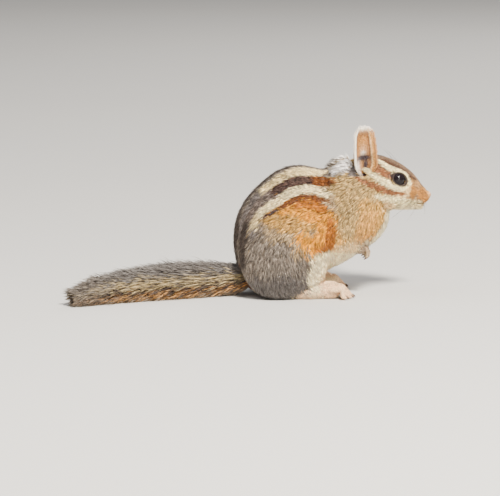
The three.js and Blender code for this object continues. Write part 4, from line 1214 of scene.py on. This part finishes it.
def unwrap(points):
    """The skin rolled flat: along a line through the body, and round it."""
    line = np.array([(x, 0, z) for x, z in SPINE], float)
    best = np.full(len(points), 1e9)
    along = np.zeros(len(points))
    angle = np.zeros(len(points))
    run = 0.0
    total = np.linalg.norm(np.diff(line, axis=0), axis=1).sum()
    for a, b in zip(line, line[1:]):
        step = b - a
        length = np.linalg.norm(step)
        t = np.clip((points - a) @ step / length**2, 0, 1)
        q = points - (a + t[:, None] * step)
        d = np.linalg.norm(q, axis=1)
        side = np.array([0, 1.0, 0])
        up = np.cross(step / length, side)
        up *= np.sign(up[2] + 1e-9)
        near = d < best
        best = np.where(near, d, best)
        along = np.where(near, (run + t * length) / total, along)
        angle = np.where(near, np.arctan2(q @ side, q @ up) / (2 * math.pi) + 0.5, angle)
        run += length
    return np.stack([along, angle], axis=1)


# Tufts of the body. The last two rows, for all of it and for the long hair behind the ears, say how
# much the tufts sway, the share of longer ones and how far those rise, and how they gather in points.
HAIR_SIZE = {"length": 0.3, "per_depth": 2.5, "width": 0.1, "widen": 0.044, "sunk": 0.12, "bend": 0.22}
LONGER = {"length": 1.3, "width": 0.7}  # how much longer and narrower the longer ones are
HAIR = {"sway": 0.16, "guard": 0.08, "rise": 0.3, "clump": 22, "pull": 0.4}
NAPE_HAIR = {"sway": 0.07, "guard": 0.5, "rise": 0.55, "clump": 9, "pull": 0.45}


def clumped(tips, roots, size, pull):
    """Draws tips towards the nearest of some scattered centres, so that hairs gather in points."""
    chosen = random.permutation(len(tips))[:max(len(tips) // size, 1)]
    tree = KDTree(len(chosen))
    for n, i in enumerate(chosen):
        tree.insert(roots[i], n)
    tree.balance()
    nearest = np.array([tree.find(root)[1] for root in roots])
    centre = chosen[nearest]
    return tips + (tips[centre] + (roots - roots[centre]) * 0.35 - tips) * pull


def pick_kinds(points):
    """A kind of coat for each tuft, mixed along the borders."""
    shares = kinds_at(points) ** 1.35
    run = np.cumsum(shares, axis=1)
    choice = random.random(len(points)) * run[:, -1]
    return (run < choice[:, None]).sum(axis=1)


def hair_tones(kinds, rings):
    """A colour for each ring of each tuft, from root to tip."""
    count = len(kinds)
    band, tip, root = BANDS[kinds], TIPS[kinds], ROOTS_AND_GAP_SHADE[kinds]
    darkened = random.random(count) < DARK_SHARES[kinds]
    tip[darkened] = DARK_TIP
    deep = darkened & (random.random(count) < 0.5)
    band[deep] = mix(band[deep], DARK_TIP, 0.6)
    shade = varied(0.25, count)[:, None]
    tones = []
    for t in np.linspace(0, 2, rings):
        tones.append((mix(root, band, t) if t <= 1 else mix(band, tip, t - 1)) * shade)
    return tones


def near_nape(points):
    """Whether each place is in the long hair behind the ears."""
    folded = fold(points)
    return np.linalg.norm((folded - (18, 7, 55)) / (6, 5, 4.5), axis=1) < 1


def body_tufts(points, quads, density):
    """Roots, rings, widths and normals of the tufts on the body, head and limbs."""
    roots = scatter(points, quads, density)
    roots = settle(bare_skin, roots, passes=1)
    normals = unit(slope_of(coat_level, roots))
    depth = bare_skin(roots) - coat_level(roots)
    way = comb(roots, normals)
    count = len(roots)
    loose = near_nape(roots)
    sway, guards, lift = (np.where(loose, NAPE_HAIR[key], HAIR[key]) for key in ("sway", "guard", "rise"))
    way = unit(way + np.cross(way, normals) * (random.normal(0, 1, count) * sway)[:, None])
    length = (HAIR_SIZE["per_depth"] * depth + HAIR_SIZE["length"]) * varied(0.16, count)
    guard = random.random(count) < guards
    length = np.where(guard, length * LONGER["length"], length)
    tips = roots + way * length[:, None]
    gathered = clumped(tips, roots, HAIR["clump"], HAIR["pull"])
    tips[~loose] = gathered[~loose]
    tips[loose] = clumped(tips[loose], roots[loose], NAPE_HAIR["clump"], NAPE_HAIR["pull"])
    rise = mix(-0.35, 0.12, random.random(count)) * depth + np.where(guard, lift * depth, 0)
    tips = move_to(tips, rise)
    middles = (roots + tips) / 2 + normals * (HAIR_SIZE["bend"] * depth)[:, None]
    sunk = roots - normals * HAIR_SIZE["sunk"]
    widths = HAIR_SIZE["width"] + HAIR_SIZE["widen"] * length
    widths = widths * np.where(guard, LONGER["width"], 1) * varied(0.2, count)
    return roots, [sunk, middles, tips], widths, normals, depth


def move_to(points, goal):
    """One straight step to the given distance outside the coat's surface."""
    slope = slope_of(coat_level, points)
    step = (goal - coat_level(points)) / np.maximum((slope**2).sum(axis=1), 0.1)
    return points + slope * np.clip(step, -3, 3)[:, None]


# How near to each bare part the coat ends, and where along x the bare core of the tail begins
BARE = {"slit": 0.04, "nose": 2.0, "lips": 0.35, "sole": 0.35, "tail": 0.1, "ears": 0.5, "from": -22}


def bare(points):
    """Places with no tufts: the eyes, nose, lips, ears' hollows, soles and the tail's core."""
    u, v, w = lid_place(points)
    lid = in_slit(u, v, BARE["slit"]) & (np.sqrt(u**2 + v**2 + w**2) < 5)
    nose = np.linalg.norm(points - NOSE["centre"], axis=1) < BARE["nose"]
    lips = polyline_distance(points, MOUTH_LINE) < BARE["lips"]
    under = points[:, 2] < BARE["sole"]
    tail = (distance_to(points, tail_core()) < BARE["tail"]) & (points[:, 0] < BARE["from"])
    return lid | nose | lips | under | tail | (ear_pits(points) < BARE["ears"])


def in_head(points):
    """Whether each place lies before the cut between head and neck."""
    slope = math.radians(HEAD_CUT["slope"])
    offset = points - HEAD_CUT["at"]
    return offset[:, 0] * math.cos(slope) + offset[:, 2] * math.sin(slope) > 0


DENSITY = {"depth": [0.1, 0.3, 0.6, 0.9, 1.5], "tufts": [16, 15, 15, 12, 7.8], "head": 1.7, "quick": 0.25}


def density_at(points):
    """Tufts per square millimetre: more where the coat is short, and most on the head."""
    depth = bare_skin(points) - coat_level(points)
    per_area = np.interp(depth, DENSITY["depth"], DENSITY["tufts"])
    per_area = per_area * np.where(in_head(points), DENSITY["head"], 1)
    return np.where(bare(points), 0, per_area) * 1


def make_coats(regions, rings, widths, normals, tones, spots, material):
    """A piece of coat for each region, which says of each tuft whether it is in it."""
    for name, chosen in regions.items():
        make_coat(name, [ring[chosen] for ring in rings], widths[chosen], normals[chosen],
                  [tone[chosen] for tone in tones], spots[chosen], material)


# Where the breast's coat begins along x, and the back's along z
BREAST_FROM, BACK_FROM = 14, 37


def make_body_coat(points, quads, material):
    roots, rings, widths, normals, depth = body_tufts(points, quads, density_at)
    seen = move_to(mix(rings[1], rings[2], 0.3), 0)
    seen = seen + random.normal(0, BORDER_MIX, seen.shape) * np.clip(depth, 0.5, 1)[:, None]
    tones = hair_tones(pick_kinds(seen), len(rings))
    spots = unwrap(roots)
    x, y, z = roots.T
    head = in_head(roots)
    limb = (depth < LIMB_COAT) & ~head
    rest = ~head & ~limb
    front = x > BREAST_FROM
    high = z > BACK_FROM
    regions = {
        "coat_head_left": head & (y >= 0), "coat_head_right": head & (y < 0), "coat_limbs": limb,
        "coat_breast": rest & front, "coat_back": rest & ~front & high,
        "coat_left": rest & ~front & ~high & (y >= 0), "coat_right": rest & ~front & ~high & (y < 0),
    }
    make_coats(regions, rings, widths, normals, tones, spots, material)


# Tail hair
def tail_frame(share):
    """The tail's line at each share of its length, the way it runs, and two ways across it."""
    stops = np.linspace(0, 1, len(TAIL_LINE))
    along = unit(interpolate(share, stops, np.gradient(TAIL_LINE, axis=0)))
    side = unit(np.cross(along, [0, 0, 1]))
    return interpolate(share, stops, TAIL_LINE), along, side, np.cross(side, along)


TAIL_HAIR = {
    "count": 12500, "quick": 3000, "length": 11.5, "width": 0.42, "root": 50, "tip": 12, "spread": 7,
    "sway": 0.16, "clump": 16, "pull": 0.35, "steps": 4,
}
EAR_HAIR = {"count": 2200, "quick": 500, "outside": 1.3, "inside": 1.0, "width": 0.15}


def make_tail_coat(material):
    count = TAIL_HAIR["count"]
    share = random.random(count) ** 0.9 * 0.97 + 0.03
    angle = random.random(count) * 2 * math.pi
    at, along, side, up = tail_frame(share)
    out = side * np.cos(angle)[:, None] + up * np.sin(angle)[:, None]
    radius = core_radius(share) * 0.95
    slim = mix(1, 0.74, np.clip((share - 0.45) / 0.55, 0, 1)) * mix(0.6, 1, np.clip(share / 0.25, 0, 1))
    length = TAIL_HAIR["length"] * slim * varied(0.12, count)
    spread = TAIL_HAIR["spread"]
    lie_root = TAIL_HAIR["root"] + random.normal(0, spread, count) - 25 * smooth_step(0.85, 1, share)
    lie_root = np.radians(lie_root)
    lie_tip = np.radians(TAIL_HAIR["tip"] + random.normal(0, spread, count))
    sway = unit(np.cross(out, along)) * random.normal(0, TAIL_HAIR["sway"], count)[:, None]
    rings = [at + out * radius[:, None]]
    steps = TAIL_HAIR["steps"]
    for i in range(steps):
        lie = mix(lie_root, lie_tip, (i + 0.5) / steps)
        step = unit(along * np.cos(lie)[:, None] + out * np.sin(lie)[:, None] + sway)
        rings.append(rings[-1] + step * (length / steps)[:, None])
    move = clumped(rings[-1], rings[0], TAIL_HAIR["clump"], TAIL_HAIR["pull"]) - rings[-1]
    rings = [ring + move * (i / steps) ** 1.5 for i, ring in enumerate(rings)]
    widths = TAIL_HAIR["width"] * varied(0.15, count)
    spots = np.stack([share, angle / (2 * math.pi)], axis=1)
    halves = {"coat_tail_front": share < 0.5, "coat_tail_rear": share >= 0.5}
    make_coats(halves, rings, widths, out, tail_tones(angle, share), spots, material)


# The tail's lengthwise bands, from its underside at -1 to its top at 1: a height, the hairs' band and tip
TAIL_BANDS = [
    (-1, (120, 98, 78), (184, 164, 142)), (-0.7, (96, 78, 64), (184, 162, 138)),
    (-0.6, (208, 140, 66), (222, 164, 94)), (-0.44, (202, 138, 70), (220, 168, 104)),
    (-0.36, (72, 58, 48), (80, 64, 54)), (-0.02, (72, 58, 48), (80, 64, 54)),
    (0.08, (190, 160, 104), (216, 192, 142)), (0.36, (184, 156, 106), (212, 190, 144)),
    (0.5, (78, 70, 66), (150, 142, 136)), (1, (72, 66, 64), (146, 140, 136)),
]


def tail_tones(angle, share):
    """A colour for each ring of each tail hair: its dark root, its band, black and a frosted tip."""
    count = len(angle)
    height = np.sin(angle) + random.normal(0, 0.1, count)
    places, bands, tips = zip(*TAIL_BANDS)
    band = interpolate(height, places, linear(*bands))
    tip = interpolate(height, places, linear(*tips))
    end = smooth_step(0.7, 0.95, share)[:, None]
    band = mix(band, linear(88, 76, 68), 0.7 * end)
    tip = mix(tip, linear(150, 138, 126), 0.7 * end)
    black = np.tile(linear(56, 46, 42), (count, 1))
    root = np.tile(linear(70, 56, 48), (count, 1))
    ticked = (random.random(count) < 0.5)[:, None]
    shade = varied(0.16, count)[:, None]
    last = np.where(ticked, mix(tip, black, 0.75), mix(band, tip, 0.5))
    return [root * shade, band * shade, mix(band, last, 0.5) * shade, last * shade, tip * shade]


# Ear hair
def make_ear_coat(material):
    count = EAR_HAIR["count"]
    rows = []
    for side in (LEFT, RIGHT):
        _, up, face, across, _ = ear_frame(side)
        for inner in (False, True):
            t = random.random(count) ** 0.85 * 0.97
            s = random.random(count) * 2 - 1
            centre, radius, opening = (np.array(part) for part in zip(*(ear_ring(side, x) for x in t)))
            outward = across * np.sin(s * opening)[:, None] - face * np.cos(s * opening)[:, None]
            gap = np.minimum(EAR["thick"], 0.5 * radius) if inner else 0
            skin = centre + outward * (radius - gap)[:, None]
            normal = -outward if inner else outward
            edge = np.abs(s) ** 4 * (0.3 if inner else 0.8)
            way = unit(up + across * (np.sign(s) * edge)[:, None])
            way = unit(way - normal * (way * normal).sum(axis=1, keepdims=True) * 0.9)
            length = EAR_HAIR["inside" if inner else "outside"] * varied(0.25, count) * mix(1.1, 0.8, t)
            rise = 0.12 + 0.12 * random.random(count)
            tip = skin + way * length[:, None] + normal * rise[:, None]
            middle = (skin + tip) / 2 + normal * 0.06
            tones = ear_tone(s * side, t, inner) * varied(0.14, count)[:, None]
            half = (0.0 if side == LEFT else 0.5) + (0.25 if inner else 0)
            spots = np.stack([half + 0.24 * (s + 1) / 2, t], axis=1)
            rows.append((skin - normal * 0.05, middle, tip, normal, tones, spots))
    *rings, normals, tones, spots = (np.concatenate(column) for column in zip(*rows))
    widths = np.full(len(tones), EAR_HAIR["width"])
    make_coat("coat_ears", rings, widths, normals, [tones * 0.8, tones, tones], spots, material)


# Stage, light and camera
CAMERA = {"azimuth": -5, "elevation": 9, "distance": 1450, "pixel": 0.42, "origin": (300, 293.5)}


IMAGE = (500, 496)
SENSOR = 36
FLOOR_HALF = 8  # metres


def camera_axes():
    a, e = math.radians(CAMERA["azimuth"]), math.radians(CAMERA["elevation"])
    right = np.array([math.cos(a), math.sin(a), 0])
    back = np.array([math.sin(a) * math.cos(e), -math.cos(a) * math.cos(e), math.sin(e)])
    return right, np.cross(back, right), back


def add_camera():
    right, up, back = camera_axes()
    px, py = CAMERA["origin"]
    pixel = CAMERA["pixel"]
    target = right * (IMAGE[0] / 2 - px) * pixel + up * (py - IMAGE[1] / 2) * pixel
    data = bpy.data.cameras.new("camera")
    data.sensor_width = SENSOR
    data.lens = SENSOR * CAMERA["distance"] / (IMAGE[0] * pixel)
    data.clip_end = 100
    camera = add_object("camera", data)
    place = Vector((target + back * CAMERA["distance"]) * MM + SHIFT)
    turn = Matrix([right, up, back]).transposed().to_4x4()
    camera.matrix_world = Matrix.Translation(place) @ turn
    bpy.context.scene.camera = camera


# The way to each light, as shares of the camera's back, right and up, then its distance and size in
# metres, its power and its colour
LIGHTS = {
    "key": (1, 0.35, 0.95, 1.2, 0.26, 52, (1, 0.94, 0.83)),
    "fill": (1, 0.3, 0.05, 1.2, 0.6, 5, (1, 0.95, 0.86)),
    "sky": (0.3, -0.6, 1.4, 1.3, 1.0, 6, (0.95, 0.97, 1)),
    "rim": (-1, 0.4, 0.9, 1.3, 0.6, 6, (1, 0.96, 0.9)),
}
SURROUNDINGS = {"grey": 0.8, "strength": 0.36}


def add_light(name, towards, distance, size, power, colour):
    """A soft square light that faces the animal."""
    data = bpy.data.lights.new(name, "AREA")
    data.size = size
    data.energy = power
    data.color = colour
    light = add_object(name, data)
    way = Vector(unit(towards))
    light.location = Vector(SHIFT) + Vector((0, 0, 0.03)) + way * distance
    light.rotation_euler = way.to_track_quat("Z", "Y").to_euler()


def add_lights():
    right, up, back = camera_axes()
    for name, (b, r, u, *settings) in LIGHTS.items():
        add_light(name, b * back + r * right + u * up, *settings)
    world = bpy.data.worlds.new("world")
    bpy.context.scene.world = world
    world.use_nodes = True
    background = world.node_tree.nodes["Background"]
    background.inputs["Color"].default_value = (*[SURROUNDINGS["grey"]] * 3, 1)
    background.inputs["Strength"].default_value = SURROUNDINGS["strength"]


def add_floor():
    mesh = bpy.data.meshes.new("floor")
    corners = [(-1, -1), (1, -1), (1, 1), (-1, 1)]
    mesh.from_pydata([(FLOOR_HALF * x, FLOOR_HALF * y, 0) for x, y in corners], [], [(0, 1, 2, 3)])
    floor = add_object("floor", mesh)
    material, tree = new_material("floor", Roughness=0.9)
    two_toned(tree, 3, (0.54, 0.53, 0.52), (0.59, 0.58, 0.57))
    mesh.materials.append(material)


add_camera()
add_lights()
add_floor()
skin_points, skin_quads = make_skin(skin_material())
for side in (LEFT, RIGHT):
    make_eye(side, eye_material())
make_nose(nose_material())
make_claws(horn_material("claw", (70, 52, 42), (120, 92, 74)))
make_whiskers(horn_material("whisker", (30, 24, 20), (60, 50, 42)))
coat = coat_material()
make_body_coat(skin_points, skin_quads, coat)
make_tail_coat(coat)
make_ear_coat(coat)
